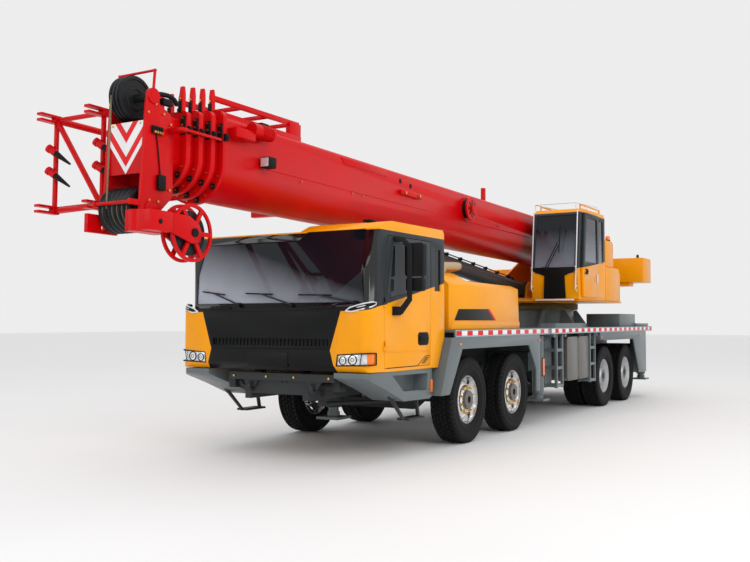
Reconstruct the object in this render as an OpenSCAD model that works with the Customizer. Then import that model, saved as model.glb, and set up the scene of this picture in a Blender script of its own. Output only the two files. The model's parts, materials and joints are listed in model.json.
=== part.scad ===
// Four-axle truck crane with a five-section telescopic boom, parked for the road.
// Millimetres. +X is forward, +Y is left, +Z is up, and the tyres stand on Z = 0.
// Stations along X are counted from the first axle, and place() then moves them
// so that the origin lies under the middle of the whole machine.

/* [Carrier] */
// width over the deck edges
deck_width = 2700; // [2500:10:2900]
// height of the deck's top
deck_top = 1390; // [1300:5:1450]
// first axle to second axle
axle_gap_front = 1450; // [1300:10:1600]
// second axle to third axle
axle_gap_mid = 4250; // [4000:10:4700]
// third axle to fourth axle
axle_gap_rear = 1350; // [1250:10:1500]
// width over the frame's side members
frame_width = 860; // [780:10:900]
// carrier's rear end, behind the last axle
rear_overhang = 1580; // [1500:10:1700]

/* [Wheels] */
// outer diameter of the tyres
tyre_diameter = 1060; // [1000:5:1100]
// width of one tyre
tyre_width = 300; // [270:5:320]
// diameter of the rim under the bead
rim_diameter = 590; // [560:5:620]
// distance between the front tyres' middles
front_track = 2260; // [2200:5:2300]
// distance between the middles of the rear twin wheels
rear_track = 1900; // [1860:5:1940]
// middle to middle of two twin tyres
twin_gap = 330; // [320:2:350]
// height of the steering yoke's boss
kingpin_boss = 110; // [90:2:130]

/* [Driver's cab] */
// width over the doors
cab_width = 2500; // [2300:10:2600]
// front face, ahead of the first axle
cab_front = 2400; // [2200:10:2600]
// back wall, ahead of the first axle
cab_back = 640; // [600:5:800]
// underside of the cab body
cab_floor = 960; // [900:5:1050]
// top of the raised roof over the driver
cab_roof = 2560; // [2450:5:2600]
// depth of the roof's trough under the boom
roof_trough = 90; // [60:5:120]
// top of the nose, under the windscreen
nose_top = 1640; // [1600:5:1660]
// thickness of doors and walls
cab_wall = 60; // [40:2:80]
// angle that a door stands open at its stop
door_open = 75; // [60:1:80]

/* [Engine cover] */
// width of the engine cover
hood_width = 2400; // [2200:10:2500]
// top of its front part
hood_top = 2090; // [2000:5:2110]
// length of the cover
hood_length = 2240; // [2000:10:2300]

/* [Outriggers] */
// width of a sliding beam
beam_w = 200; // [160:2:220]
// height of a sliding beam
beam_h = 240; // [200:2:260]
// middle height of the beams
beam_z = 900; // [860:5:950]
// outer radius of a jack's barrel
jack_r = 85; // [70:1:95]
// radius of a jack's rod
jack_rod_r = 60; // [50:1:65]
// underside of a stowed float
float_z = 330; // [250:5:400]

/* [Upper works] */
// slewing axis behind the first axle
slew_back = 5700; // [5500:10:5900]
// radius of the slewing ring
ring_r = 720; // [650:5:780]
// top of the slewing ring
ring_top = 1815; // [1780:1:1850]
// tail radius of the counterweight
tail_r = 3380; // [3200:10:3600]
// height of the counterweight
weight_h = 490; // [300:10:550]
// width of the counterweight
weight_w = 2600; // [2300:10:2700]
// radius of the winch drums' flanges
drum_r = 240; // [180:5:250]

/* [Operator's cab] */
// width of the cab
op_w = 800; // [700:10:820]
// length of the cab
op_l = 1500; // [1400:10:1560]
// height of the cab
op_h = 1500; // [1400:10:1600]
// wall thickness
op_wall = 50; // [40:1:60]

/* [Boom] */
// foot pin behind the first axle
foot_back = 7100; // [6900:10:7300]
// foot pin's height
foot_z = 2960; // [2900:5:3050]
// boom's angle when it lies in its rest
boom_angle = 1; // [0.6:0.1:1.2]
// width of the base section
boom_w = 660; // [620:2:690]
// height of the base section
boom_h = 810; // [760:2:840]
// step in from one section to the next
boom_step = 30; // [26:1:32]
// plate thickness
boom_plate = 8; // [6:0.5:10]
// foot pin to the base section's collar
base_len = 10641; // [10400:1:10900]
// distance between two collars
collar_gap = 137; // [125:1:150]
// fourth collar to the boom head
head_gap = 173; // [150:1:200]
// length of a collar
collar_len = 56; // [40:1:60]
// how far a collar stands out
collar_rim = 42; // [30:1:50]
// radius of the sheaves
sheave_r = 205; // [180:1:215]

/* [Luffing cylinder] */
// barrel diameter
luff_d = 250; // [220:2:270]
// rod diameter
luff_rod_d = 170; // [140:2:180]
// lower pin ahead of the slewing axis
luff_ahead = 800; // [750:5:850]
// lower pin's height
luff_z = 2050; // [2020:5:2080]
// boom pin ahead of the foot pin
luff_boom_u = 6190; // [6000:10:6300]
// boom pin below the foot pin's line
luff_boom_w = 618; // [600:1:640]

/* [Hidden] */
$fn = 48;
fit = 0.05;
seat = 0.3;
hw = deck_width / 2;
ax2 = -axle_gap_front;
ax3 = ax2 - axle_gap_mid;
ax4 = ax3 - axle_gap_rear;
axle_x = [0, ax2, ax3, ax4];
tyre_r = tyre_diameter / 2;
rim_r = rim_diameter / 2;
rear_end = ax4 - rear_overhang;
slew_x = -slew_back;
foot_x = -foot_back;
head_u = base_len + 4 * collar_gap + head_gap;
front_tip = foot_x + head_u + 460;
rear_tip = slew_x - tail_r;
frame_x = -(front_tip + rear_tip) / 2;
fw = frame_width / 2;
king_y = front_track / 2 - 200;
hub_y = front_track / 2;
twin_y = rear_track / 2;
out_x = [ax2 - 1180, rear_end + 245];
box_wall = 15;
slide_gap = 5;
beam_off = beam_w / 2 + slide_gap + box_wall / 2;
jack_y = hw - 140;
front_jack_x = 1100;
cw2 = cab_width / 2;
door_front = 2040;
door_back = 1000;
hood_front = 420;
hood_back = hood_front - hood_length;
hood_z = deck_top;
op_y1 = 1320;
op_y0 = op_y1 - op_w;
op_x1 = slew_x + 1650;
op_x0 = op_x1 - op_l;
op_z = ring_top + 37;
plate_in = boom_w / 2 + 15;
table_top = ring_top + 80;
win1 = [foot_x - 800, foot_z - 340];
win2 = [foot_x - 1390, foot_z - 340];
weight_x1 = rear_tip + 880;
weight_z = 2280;
bow_w = -boom_h + 332 + boom_w / 2;
// top of the luffing ears, half way through the bottom plate of the base section
ear_top = bow_w - sqrt(pow(boom_w / 2 - boom_plate / 2 - 1, 2) - 96 * 96);
luff_x = slew_x + luff_ahead;
pin_x = foot_x + luff_boom_u * cos(boom_angle) + luff_boom_w * sin(boom_angle);
pin_z = foot_z + luff_boom_u * sin(boom_angle) - luff_boom_w * cos(boom_angle);
luff_len = norm([pin_x - luff_x, pin_z - luff_z]);
luff_tilt = atan2(pin_z - luff_z, pin_x - luff_x);

grey = [0.36, 0.40, 0.43];
dark = [0.12, 0.12, 0.13];
yellow = [0.98, 0.62, 0.05];
orange = [0.95, 0.50, 0.05];
red = [0.85, 0.07, 0.09];
black = [0.05, 0.05, 0.06];
glassy = [0.35, 0.42, 0.48, 0.4];
steel = [0.7, 0.7, 0.72];

// moves stations along X into the shared frame
module place() translate([frame_x, 0, 0]) children();

// left piece and its mirror image on the right
module both() {
  children();
  mirror([0, 1, 0]) children();
}

// left piece, or its mirror image where s is -1
module side(s) mirror([0, s < 0 ? 1 : 0, 0]) children();

// plate with an outline in X and Z, between two Y planes
module side_plate(pts, y0, y1)
  translate([0, y1, 0]) rotate([90, 0, 0]) linear_extrude(y1 - y0) polygon(pts);

// plate with an outline in Y and Z, between two X planes
module cross_plate(pts, x0, x1)
  translate([x0, 0, 0]) rotate([90, 0, 90]) linear_extrude(x1 - x0) polygon(pts);

// box from its low corner to its high corner
module box(a, b) translate(a) cube(b - a);

// round bar along Y
module ybar(x, z, r, y0, y1) translate([x, y1, z]) rotate([90, 0, 0]) cylinder(r = r, h = y1 - y0);

// round bar between two points
module bar(p, q, d, n = 24) {
  v = q - p;
  translate(p) rotate([0, acos(v[2] / norm(v)), atan2(v[1], v[0])]) cylinder(d = d, h = norm(v), $fn = n);
}

// turned piece: outline in radius and Y, about a Y axis
module turned(x, y, z, pts)
  translate([x, y, z]) rotate([-90, 0, 0]) rotate_extrude() polygon(pts);

// points of an arc
function arc(c, r, a0, a1, n) =
  [for (i = [0:n]) let(a = a0 + (a1 - a0) * i / n) [c[0] + r * cos(a), c[1] + r * sin(a)]];

// outline moved inwards by d, for outlines that run anticlockwise
function inset(p, d) = [for (i = [0:len(p) - 1])
  let(
    a = p[(i + len(p) - 1) % len(p)],
    b = p[i],
    c = p[(i + 1) % len(p)],
    u = (b - a) / norm(b - a),
    v = (c - b) / norm(c - b),
    nu = [-u[1], u[0]],
    nv = [-v[1], v[0]]
  )
  b + (nu + nv) * d / (1 + nu * nv)];

// CARRIER

// two side members, closed into a box behind the front axles, with the outrigger boxes across it
module chassis_frame() place() color(grey) difference() {
  union() {
    both() side_plate([[2240, 640], [2240, 900], [700, 900], [500, 1140], [ax2 - 800, 1140],
      [ax2 - 1000, 1250], [rear_end + 20, 1250], [rear_end + 20, 760], [ax3 + 700, 760],
      [ax2 - 800, 760], [500, 760], [700, 640]], fw - 80, fw);
    box([rear_end + 20, -fw + 70, 1220], [ax2 - 1000, fw - 70, 1250]);
    box([rear_end + 20, -fw + 70, 760], [ax2 - 1000, fw - 70, 785]);
    box([2140, -fw + 70, 700], [2240, fw - 70, 880]);
    box([2235, -620, 850], [2290, 790, 930]);
    for (y = [-323, 505]) cross_plate([[y - 110, 860], [y - 40, 770], [y + 40, 770], [y + 110, 860]], 2240, 2275);
    box([500, -fw + 70, 800], [620, fw - 70, 900]);
    box([ax2 - 780, -fw + 70, 1020], [ax2 - 640, fw - 70, 1140]);
    for (x = out_x) box([x - 2 * beam_off - box_wall, -jack_y + jack_r + 15, beam_z - beam_h / 2 - 20],
      [x + 2 * beam_off + box_wall, jack_y - jack_r - 15, beam_z + beam_h / 2 + 20]);
    translate([slew_x, 0, 1240]) cylinder(r = ring_r - 60, h = ring_top - 120 - 1240);
    both() side_plate([[slew_x - 1150, 1245], [slew_x + 1150, 1245], [slew_x + 760, ring_top - 125],
      [slew_x - 760, ring_top - 125]], fw - 60, fw - 20);
    for (s = [-1, 1]) cross_plate([[-960, 1245], [960, 1245], [640, ring_top - 125], [-640, ring_top - 125]],
      slew_x + s * 330 - 20, slew_x + s * 330 + 20);
    box([front_jack_x - 150, -fw + 70, 660], [front_jack_x + 150, fw - 70, 860]);
    translate([front_jack_x, 0, 470]) cylinder(r = jack_r + 5, h = 300);
    both() box([rear_end, 250, 560], [rear_end + 60, jack_y - jack_r - 15, 760]);
    box([rear_end, -340, 600], [rear_end + 60, 340, 1100]);
    both() for (x = [840, 1960]) box([x, fw - 80, 890], [x + 120, fw, cab_floor]);
  }
  for (x = out_x, s = [-1, 1])
    box([x + s * 2 * beam_off * 0.5 - beam_w / 2 - slide_gap, -hw, beam_z - beam_h / 2 - seat],
      [x + s * 2 * beam_off * 0.5 + beam_w / 2 + slide_gap, hw, beam_z + beam_h / 2 + slide_gap]);
  translate([front_jack_x, 0, 400]) cylinder(r = jack_rod_r + seat, h = 440);
  translate([slew_x, 0, 1200]) cylinder(r = 240, h = 700);
}

// deck plate with a folded edge that carries the marker strip
module deck() place() color(grey) difference() {
  union() {
    box([rear_end, -hw, deck_top - 30], [560, hw, deck_top]);
    both() box([rear_end, hw - 15, deck_top - 90], [560, hw, deck_top]);
    both() box([slew_x + 780, hw - 420, deck_top], [slew_x + 2300, hw - 180, deck_top + 70]);
    for (x = [-2950, -3440, -5060, ax3 - 675]) both()
      box([x - 40, fw - 40, 1250], [x + 40, hw - 30, deck_top - 25]);
  }
  box([ax2 - 350, -fw + 20, 1000], [470, fw - 20, 2000]);
  translate([slew_x, 0, 1000]) cylinder(r = ring_r + 120, h = 800);
  box([slew_x - 1160, -fw + 10, 1000], [slew_x + 1160, fw - 10, 2000]);
  box([slew_x - 352, -980, 1000], [slew_x + 352, 980, 2000]);
  both() box([out_x[0] - 330, hw - 30, 1000], [out_x[0] - 250, hw + 10, deck_top - 31]);
}

// side skirts with sloped wheel arches, one pair for the steered axles and one for the driven axles
module side_skirts() place() color(grey) both() {
  side_plate([[560, deck_top - 90], [640, deck_top - 90], [930, 640], [700, 640], [350, 1160], [ax2 - 370, 1160],
    [ax2 - 640, 820], [ax2 - 640, 500], [ax2 - 790, 500], [ax2 - 790, deck_top - 90]], hw - 25, hw);
  side_plate([[700, 640], [930, 640], [640, deck_top - 90], [560, deck_top - 90]], hw - 260, hw - 25);
  side_plate([[ax3 + 560, deck_top - 90], [ax3 + 560, 1180], [ax3 + 300, 1160], [ax4 - 190, 1160], [ax4 - 560, 560],
    [ax4 - 560, 500], [rear_end + 470, 500], [rear_end + 470, deck_top - 90]], hw - 25, hw);
  side_plate([[ax4 - 590, 500], [rear_end + 490, 500], [rear_end + 490, deck_top - 90], [ax4 - 590, deck_top - 90]],
    hw - 180, hw - 25);
}

// steps below the driver's doors, ladders beside the tanks
module steps() place() color(grey) {
  both() difference() {
    intersection() {
      side_plate([[940, cab_floor], [940, 640], [1000, 615], [1600, 625], [1980, 770], [2250, 860],
        [cab_front, 915], [cab_front, cab_floor]], 840, cw2 - 10);
      translate([0, 0, 500]) linear_extrude(600) polygon(inset(nose_plan, 10));
    }
    side_plate([[1060, 715], [1610, 735], [1850, cab_floor - 45], [1040, cab_floor - 55]], cw2 - 200, cw2);
  }
  both() {
    box([1062, cw2 - 200, 400], [1432, cw2 - 40, 424]);
    side_plate([[1395, 402], [1432, 402], [1765, 690], [1720, 700]], cw2 - 135, cw2 - 100);
    side_plate([[1062, 402], [1098, 402], [1155, 640], [1118, 640]], cw2 - 135, cw2 - 100);
  }
  both() for (x = [-3330, -4960]) {
    box([x, hw - 70, 480], [x + 40, hw - 30, deck_top - 90]);
    box([x + 260, hw - 70, 480], [x + 300, hw - 30, deck_top - 90]);
    for (z = [490, 760, 1030]) box([x, hw - 250, z], [x + 300, hw - 30, z + 45]);
    box([x, hw - 250, 480], [x + 300, hw - 225, deck_top - 31]);
  }
}

// fuel tank, right-hand locker and the boxes on the rear deck
module side_boxes() place() color(grey) {
  both() difference() {
    union() {
      for (x = [-4610, -4070]) side_plate([[x + 8, 600], [x + 40, 560], [x + 492, 560], [x + 524, 600],
        [x + 524, 1210], [x + 492, 1250], [x + 40, 1250], [x + 8, 1210]], 780, hw - 40);
      box([-4600, 790, 620], [-3560, hw - 70, 1190]);
      box([-4500, fw, 900], [-4420, 800, 1000]);
      box([-3740, fw, 900], [-3660, 800, 1000]);
    }
  }
  both() box([ax4 - 620, 640, deck_top], [ax3 - 900, hw - 80, 1630]);
  both() box([rear_end + 40, 700, deck_top], [ax4 - 625, hw - 60, 1450]);
}

// corner-to-corner plan of the driver's cab, anticlockwise from the back right
cab_plan = concat(
  [[cab_back, -cw2]],
  [[2090, -cw2]],
  arc([2090, -cw2 + 200], 200, -80, -35, 4),
  [[cab_front - 10, -640], [cab_front, -300], [cab_front, 300], [cab_front - 10, 640]],
  arc([2090, cw2 - 200], 200, 35, 80, 4),
  [[2090, cw2], [cab_back, cw2]]);

// side outline of the driver's cab, anticlockwise from the back, with the corner cut for the skirt
cab_side = [[cab_back, cab_floor + 350], [cab_back + 170, cab_floor], [1900, cab_floor], [cab_front - 60, cab_floor + 10], [cab_front, cab_floor + 90],
  [cab_front, 1610], [cab_front - 30, 1690], [cab_front - 270, 2470], [cab_front - 360, cab_roof - 25],
  [cab_front - 520, cab_roof], [cab_back + 40, cab_roof], [cab_back, cab_roof - 40]];

// squarer plan of the nose below the windscreen
nose_plan = concat(
  [[cab_back, -cw2], [cab_front - 120, -cw2]],
  arc([cab_front - 120, -cw2 + 110], 110, -75, -15, 4),
  [[cab_front - 6, -640], [cab_front, -300], [cab_front, 300], [cab_front - 6, 640]],
  arc([cab_front - 120, cw2 - 110], 110, 15, 75, 4),
  [[cab_front - 120, cw2], [cab_back, cw2]]);

// solid cab body moved in by d on every face; the roof's trough leaves room for the boom
module cab_body(d) difference() {
  intersection() {
    side_plate(inset(cab_side, d), -cw2 + d, cw2 - d);
    union() {
      translate([0, 0, cab_floor + d]) linear_extrude(cab_roof - cab_floor - 2 * d) polygon(inset(cab_plan, d));
      translate([0, 0, cab_floor + d]) linear_extrude(nose_top - cab_floor - 2 * d) polygon(inset(nose_plan, d));
    }
  }
  cross_plate([[-cw2 - 10, cab_roof - roof_trough - d], [230 - d / 2, cab_roof - roof_trough - d],
    [340 - d / 2, cab_roof + 20 - d], [340 - d / 2, cab_roof + 60], [-cw2 - 10, cab_roof + 60]],
    cab_back - 10, cab_front + 10);
}

// opening of a front-hinged door, grown by g all round
module door_opening(g)
  side_plate([[door_back - g, cab_floor + 40 - g], [door_front + g, cab_floor + 40 - g],
    [door_front + g, 1900 + g], [door_front - 90 + g, 2400 + g], [door_back - g, 2400 + g]],
    cw2 - cab_wall - 30, cw2 + 60);

// window of a door, grown by g
module door_window(g)
  side_plate([[1160 - g, 1850 - g], [door_front - 130 + g, 1740 - g], [door_front - 130 + g, 1900],
    [door_front - 200 + g, 2330 + g], [1160 - g, 2330 + g]], cw2 - cab_wall - 30, cw2 + 60);

// windscreen outline seen from ahead, grown by g
module screen_cut(g)
  cross_plate([[-1130 - g, 1690 - g], [1130 + g, 1690 - g], [1080 + g, cab_roof - 95 + g],
    [330 - g, cab_roof - 95 + g], [240 - g, cab_roof - 185 + g], [-1080 - g, cab_roof - 185 + g]],
    cab_front - 420, cab_front + 20);

// small window behind each door, grown by g
module quarter_window(g)
  both() box([cab_back + 100 - g, cw2 - cab_wall - 30, 1840 - g], [door_back - 110 + g, cw2 + 30, 2320 + g]);

// black panel across the nose, grown by g
module nose_cut(g)
  cross_plate([[-870 - g, cab_floor - 20], [870 + g, cab_floor - 20], [800 + g, 1190], [930 + g, nose_top - 40 + g],
    [-930 - g, nose_top - 40 + g], [-800 - g, 1190]], cab_front - 90, cab_front + 20);

module cab_shell() place() color(yellow) difference() {
  union() {
    difference() {
      cab_body(0);
      cab_body(cab_wall);
      both() door_opening(6);
      screen_cut(0);
      quarter_window(0);
      nose_cut(0);
      box([cab_back - 20, -700, 1780], [cab_back + cab_wall + 10, 700, 2330]);
      both() cross_plate([[880, 1035], [cw2 + 10, 1045], [cw2 + 10, 1165], [895, 1145]], cab_front - 190, cab_front + 10);
    }
    both() for (z = [1180, 1640]) translate([door_front - 3, cw2 + 14, z]) cylinder(r = 12, h = 50);
    both() for (z = [1180, 1640]) box([door_front + 2, cw2 - 10, z], [door_front + 30, cw2 + 18, z + 50]);
  }
}

// black nose: ribbed air slot across it, a groove below and a blank plate holder
module cab_front_panel() place() color(black) union() {
  difference() {
    intersection() {
      cab_body(0);
      nose_cut(-seat);
    }
    cab_body(cab_wall - 5);
    box([cab_front - 34, -775, 1232], [cab_front + 10, 775, 1308]);
    box([cab_front - 16, -900, 1190], [cab_front + 10, 900, 1204]);
  }
  for (y = [-750:50:750]) box([cab_front - 36, y - 5, 1228], [cab_front - 20, y + 5, 1312]);
  box([cab_front - 20, -270, 1012], [cab_front + 6, 270, 1158]);
}

// windscreen, back window and the small windows behind the doors
module cab_glass() place() color(glassy) {
  difference() {
    intersection() {
      cab_body(14);
      screen_cut(-0.5);
    }
    cab_body(24);
  }
  intersection() {
    quarter_window(-0.5);
    difference() {
      cab_body(14);
      cab_body(24);
    }
  }
  box([cab_back + 20, -699.5, 1780.5], [cab_back + 30, 699.5, 2329.5]);
}

// front-hinged cab door with its mirror arm; s is 1 on the left
module door(s) place() color(yellow) side(s) {
  difference() {
    intersection() {
      cab_body(0);
      door_opening(0);
    }
    cab_body(cab_wall);
    door_window(0);
  }
  for (z = [1230 + seat, 1690 + seat]) translate([door_front - 3, cw2 + 14, z]) cylinder(r = 12, h = 50);
  for (z = [1230 + seat, 1690 + seat]) box([door_front - 60, cw2 - 12, z], [door_front - 6, cw2 + 22, z + 50]);
  box([1110, cw2 - 8, 1270], [1270, cw2 + 14, 1330]);
  box([1740, cw2 - 10, 1555], [1880, cw2 + 30, 1650]);
  box([1740, cw2 - 30, 2345], [1860, cw2 + 30, 2392]);
  translate([1800, cw2, 0]) rotate([0, 0, 28]) cross_plate([[-5, 1565], [70, 1565], [175, 1715], [175, 2300],
    [90, 2390], [-5, 2390], [-5, 2347], [65, 2347], [120, 2280], [120, 1740], [45, 1640], [-5, 1640]], -45, 45);
  cross_plate([[cw2 + 70, 1995], [cw2 + 90, 1975], [cw2 + 270, 1975], [cw2 + 290, 1995], [cw2 + 290, 2310],
    [cw2 + 270, 2330], [cw2 + 90, 2330], [cw2 + 70, 2310]], 1640, 1725);
  cross_plate([[cw2 + 80, 1830], [cw2 + 95, 1815], [cw2 + 265, 1815], [cw2 + 280, 1830], [cw2 + 280, 1940],
    [cw2 + 265, 1955], [cw2 + 95, 1955], [cw2 + 80, 1940]], 1645, 1722);
}

module door_glass(s) place() color(glassy) side(s) difference() {
  intersection() {
    cab_body(14);
    door_window(-0.5);
  }
  cab_body(24);
}

// two seats, the dashboard and the steering wheel
module cab_interior() place() color(dark) {
  f = cab_floor + cab_wall;
  both() {
    side_plate([[1080, f], [1500, f], [1520, f + 300], [1590, f + 460], [1560, f + 540], [1190, f + 500],
      [1060, f + 1060], [1010, f + 1200], [930, f + 1190], [960, f + 1040], [1060, f + 480]], 380, 900);
  }
  intersection() {
    side_plate([[cab_front - 75, f], [cab_front - 75, 1640], [cab_front - 140, 1700], [cab_front - 420, 1660],
      [cab_front - 480, 1560], [cab_front - 330, 1400], [cab_front - 280, f]], -1080, 1080);
    difference() {
      cab_body(cab_wall);
      both() box([1700, cw2 - 230, cab_floor], [2600, cw2, 1300]);
      box([cab_front - cab_wall - 4, -1000, cab_floor], [2600, 1000, 1900]);
    }
  }
  translate([cab_front - 640, 640, 1640]) rotate([0, -35, 0]) rotate_extrude() translate([215, 0]) circle(r = 18);
  translate([cab_front - 640, 640, 1640]) rotate([0, -35, 0]) for (a = [90, 210, 330]) rotate([0, 0, a])
    translate([0, -18, -10]) cube([212, 36, 20]);
  bar([cab_front - 640, 640, 1640], [cab_front - 350, 640, 1240], 70);
  box([1100, -250, f], [1750, 250, f + 220]);
}

// head lamps, turn lamps beside the deck and tail lamps
module lamps() place() color([0.9, 0.9, 0.92]) {
  both() intersection() {
    cross_plate([[880.4, 1035.4], [cw2 + 10, 1045.4], [cw2 + 10, 1164.6], [895.4, 1144.6]], cab_front - 189.6, cab_front + 10);
    difference() {
      cab_body(4);
      cab_body(50);
    }
  }
  both() for (x = [420, ax2 - 760, ax3 + 500, ax4 - 640]) box([x - 22, hw, 1205], [x + 22, hw + 12, 1232]);
  both() box([950, cw2 - 10, 690], [990, cw2 + 4, 830]);
  both() box([rear_end - 25, 480, 620], [rear_end, 1080, 720]);
}

// engine and gearbox as one block, with the shafts that run back to the driven axles
module engine() place() color(dark) {
  box([-1500, -330, 730], [250, 330, 1860]);
  box([-2070, -200, 640], [-1490, 200, 1000]);
  bar([-2065, 0, 695], [ax3 + 245, 0, 600], 100);
  bar([ax3 - 240, 0, 590], [ax4 + 240, 0, 590], 100);
  both() box([-900, 325, 900], [-780, fw - 80, 1000]);
}

// cover behind the driver's cab: stepped top, sloped shoulders, open below
module engine_cover() place() color(yellow) difference() {
  hood_body(0);
  hood_body(25);
  box([hood_back - 10, -hood_width / 2 + 60, hood_z - 10], [hood_front + 10, hood_width / 2 - 60, hood_z + 30]);
}

module hood_body(d) intersection() {
  side_plate(inset([[hood_back, hood_z], [hood_front, hood_z], [hood_front, hood_top - 40],
    [hood_front - 40, hood_top], [-60, hood_top], [-230, hood_top - 90], [hood_back + 190, hood_top - 110],
    [hood_back + 40, hood_top - 150]], d), -hood_width / 2 + d, hood_width / 2 - d);
  cross_plate(inset([[-hood_width / 2, hood_z], [hood_width / 2, hood_z], [hood_width / 2, hood_top - 150],
    [hood_width / 2 - 190, hood_top + 20], [-hood_width / 2 + 190, hood_top + 20], [-hood_width / 2, hood_top - 150]], d),
    hood_back - 10, hood_front + 10);
}

// two dropped steering beams on leaf springs, two driven housings on leaf springs
module axles() place() color(dark) {
  z = tyre_r;
  for (x = [0, ax2]) {
    difference() {
      union() {
        both() translate([x, king_y, z - kingpin_boss / 2]) cylinder(r = 60, h = kingpin_boss);
        cross_plate([[-king_y + 20, z - 45], [-640, z - 45], [-520, z - 150], [520, z - 150], [640, z - 45],
          [king_y - 20, z - 45], [king_y - 20, z + 45], [620, z + 45], [480, z - 30], [-480, z - 30], [-620, z + 45],
          [-king_y + 20, z + 45]], x - 50, x + 50);
        both() box([x - 40, 430, z - 40], [x + 40, 500, 660]);
      }
      both() translate([x, king_y, z - 100]) cylinder(r = 30 + fit, h = 200);
    }
    both() side_plate([[x - 640, 690], [x - 560, 730], [x - 300, 670], [x - 100, 650], [x + 100, 650], [x + 300, 670],
      [x + 560, 730], [x + 640, 690], [x + 560, 690], [x + 300, 600], [x - 300, 600], [x - 560, 690]], fw + 5, fw + 75);
    both() for (s = [-1, 1]) box([x + s * 600 - 40, fw, 690], [x + s * 600 + 40, fw + 90, 880]);
  }
  for (x = [ax3, ax4]) {
    translate([x, 0, z]) sphere(r = 225);
    ybar(x, z, 95, -610, 610);
    ybar(x, z, 60, -twin_y - 260, twin_y + 260);
    both() box([x - 70, 440, z + 60], [x + 70, 520, 700]);
  }
  both() side_plate([[ax4 - 120, 690], [ax4 - 120, 640], [ax4 + 300, 700], [ax3 - 300, 700], [ax3 + 120, 640],
    [ax3 + 120, 690], [(ax3 + ax4) / 2 + 120, 800], [(ax3 + ax4) / 2 - 120, 800]], fw + 5, fw + 95);
  both() box([(ax3 + ax4) / 2 - 90, fw, 720], [(ax3 + ax4) / 2 + 90, fw + 110, 900]);
}

// slewing ring with its outer gear rim on the pedestal
module slew_ring() place() color([0.45, 0.36, 0.16]) difference() {
  union() {
    translate([slew_x, 0, ring_top - 120]) cylinder(r = ring_r, h = 70);
    translate([slew_x, 0, ring_top - 60]) cylinder(r = ring_r - 25, h = 59.5);
  }
  translate([slew_x, 0, ring_top - 130]) cylinder(r = ring_r - 140, h = 150);
}

// steering yoke with its kingpin and wheel spindle; x is the axle's station and s is 1 on the left
module knuckle(x, s) place() color(dark) side(s) {
  z = tyre_r;
  h = kingpin_boss / 2;
  for (a = [z - h - 55, z + h + 5]) {
    translate([x, king_y, a]) cylinder(r = 62, h = 50);
    box([x - 62, king_y, a], [x + 62, king_y + 100, a + 50]);
  }
  translate([x, king_y, z - h - 50]) cylinder(r = 30, h = kingpin_boss + 100);
  box([x - 62, king_y + 72, z - h - 55], [x + 62, king_y + 100, z + h + 55]);
  ybar(x, z, 45, king_y + 90, hub_y + 70);
}

// outline of a tyre, from bead to bead round the tread
function tyre_section(r0, r1, w) = [[r0, -w * 0.40], [r0 + 20, -w * 0.45], [r0 + 0.45 * (r1 - r0), -w / 2],
  [r1 - 55, -w * 0.49], [r1 - 22, -w * 0.45], [r1 - 5, -w * 0.40], [r1, -w * 0.30], [r1, w * 0.30],
  [r1 - 5, w * 0.40], [r1 - 22, w * 0.45], [r1 - 55, w * 0.49], [r0 + 0.45 * (r1 - r0), w / 2],
  [r0 + 20, w * 0.45], [r0, w * 0.40]];

module tyre(x, y) color(dark) turned(x, y, tyre_r, tyre_section(rim_r, tyre_r, tyre_width));

// single wheel: the disc bulges outwards to the wheel nuts, with ten hand holes
module front_wheel(x, s) place() side(s) {
  w = tyre_width;
  tyre(x, hub_y);
  color(steel) difference() {
    turned(x, hub_y, tyre_r, [[45 + fit, -70], [150, -70], [150, 40], [205, 30], [rim_r - 16, -60],
      [rim_r - 16, -w * 0.40], [rim_r - 0.3, -w * 0.40], [rim_r - 0.3, w * 0.40], [rim_r - 16, w * 0.40],
      [rim_r - 16, -30], [200, 70], [185, 82], [140, 82], [120, 95], [112, 140], [45 + fit, 140]]);
    for (a = [0:36:324]) translate([x, hub_y, tyre_r]) rotate([0, a, 0]) translate([235, 120, 0])
      rotate([90, 0, 0]) cylinder(r = 24, h = 260);
    translate([x, hub_y + 75, tyre_r]) rotate([-90, 0, 0]) cylinder(r = 45 + fit, h = 80);
  }
  color(steel) for (a = [18:36:342]) translate([x, hub_y, tyre_r]) rotate([0, a, 0])
    translate([165, 105, 0]) rotate([90, 0, 0]) cylinder(r = 14, h = 23.3);
}

// twin wheel: two rims bolted back to back, so the outer one is deep
module twin_wheel(x, s) place() side(s) {
  g = twin_gap / 2;
  w = tyre_width;
  for (d = [-g, g]) tyre(x, twin_y + d);
  color(steel) turned(x, twin_y, tyre_r, [[60 + fit, -120], [170, -120], [170, -20], [rim_r - 40, -20],
    [rim_r - 16, -50], [rim_r - 16, -g - w * 0.40], [rim_r - 0.3, -g - w * 0.40], [rim_r - 0.3, -g + w * 0.40],
    [rim_r - 14, -g + w * 0.40], [rim_r - 14, g - w * 0.40], [rim_r - 0.3, g - w * 0.40], [rim_r - 0.3, g + w * 0.40],
    [rim_r - 16, g + w * 0.40], [rim_r - 16, 50], [rim_r - 40, 20], [150, 20], [150, 130], [120, 270], [60 + fit, 270]]);
}

// OUTRIGGERS

// station of a sliding beam: the left and right ones lie side by side
function beam_x(x, s) = x + s * beam_off;

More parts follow.
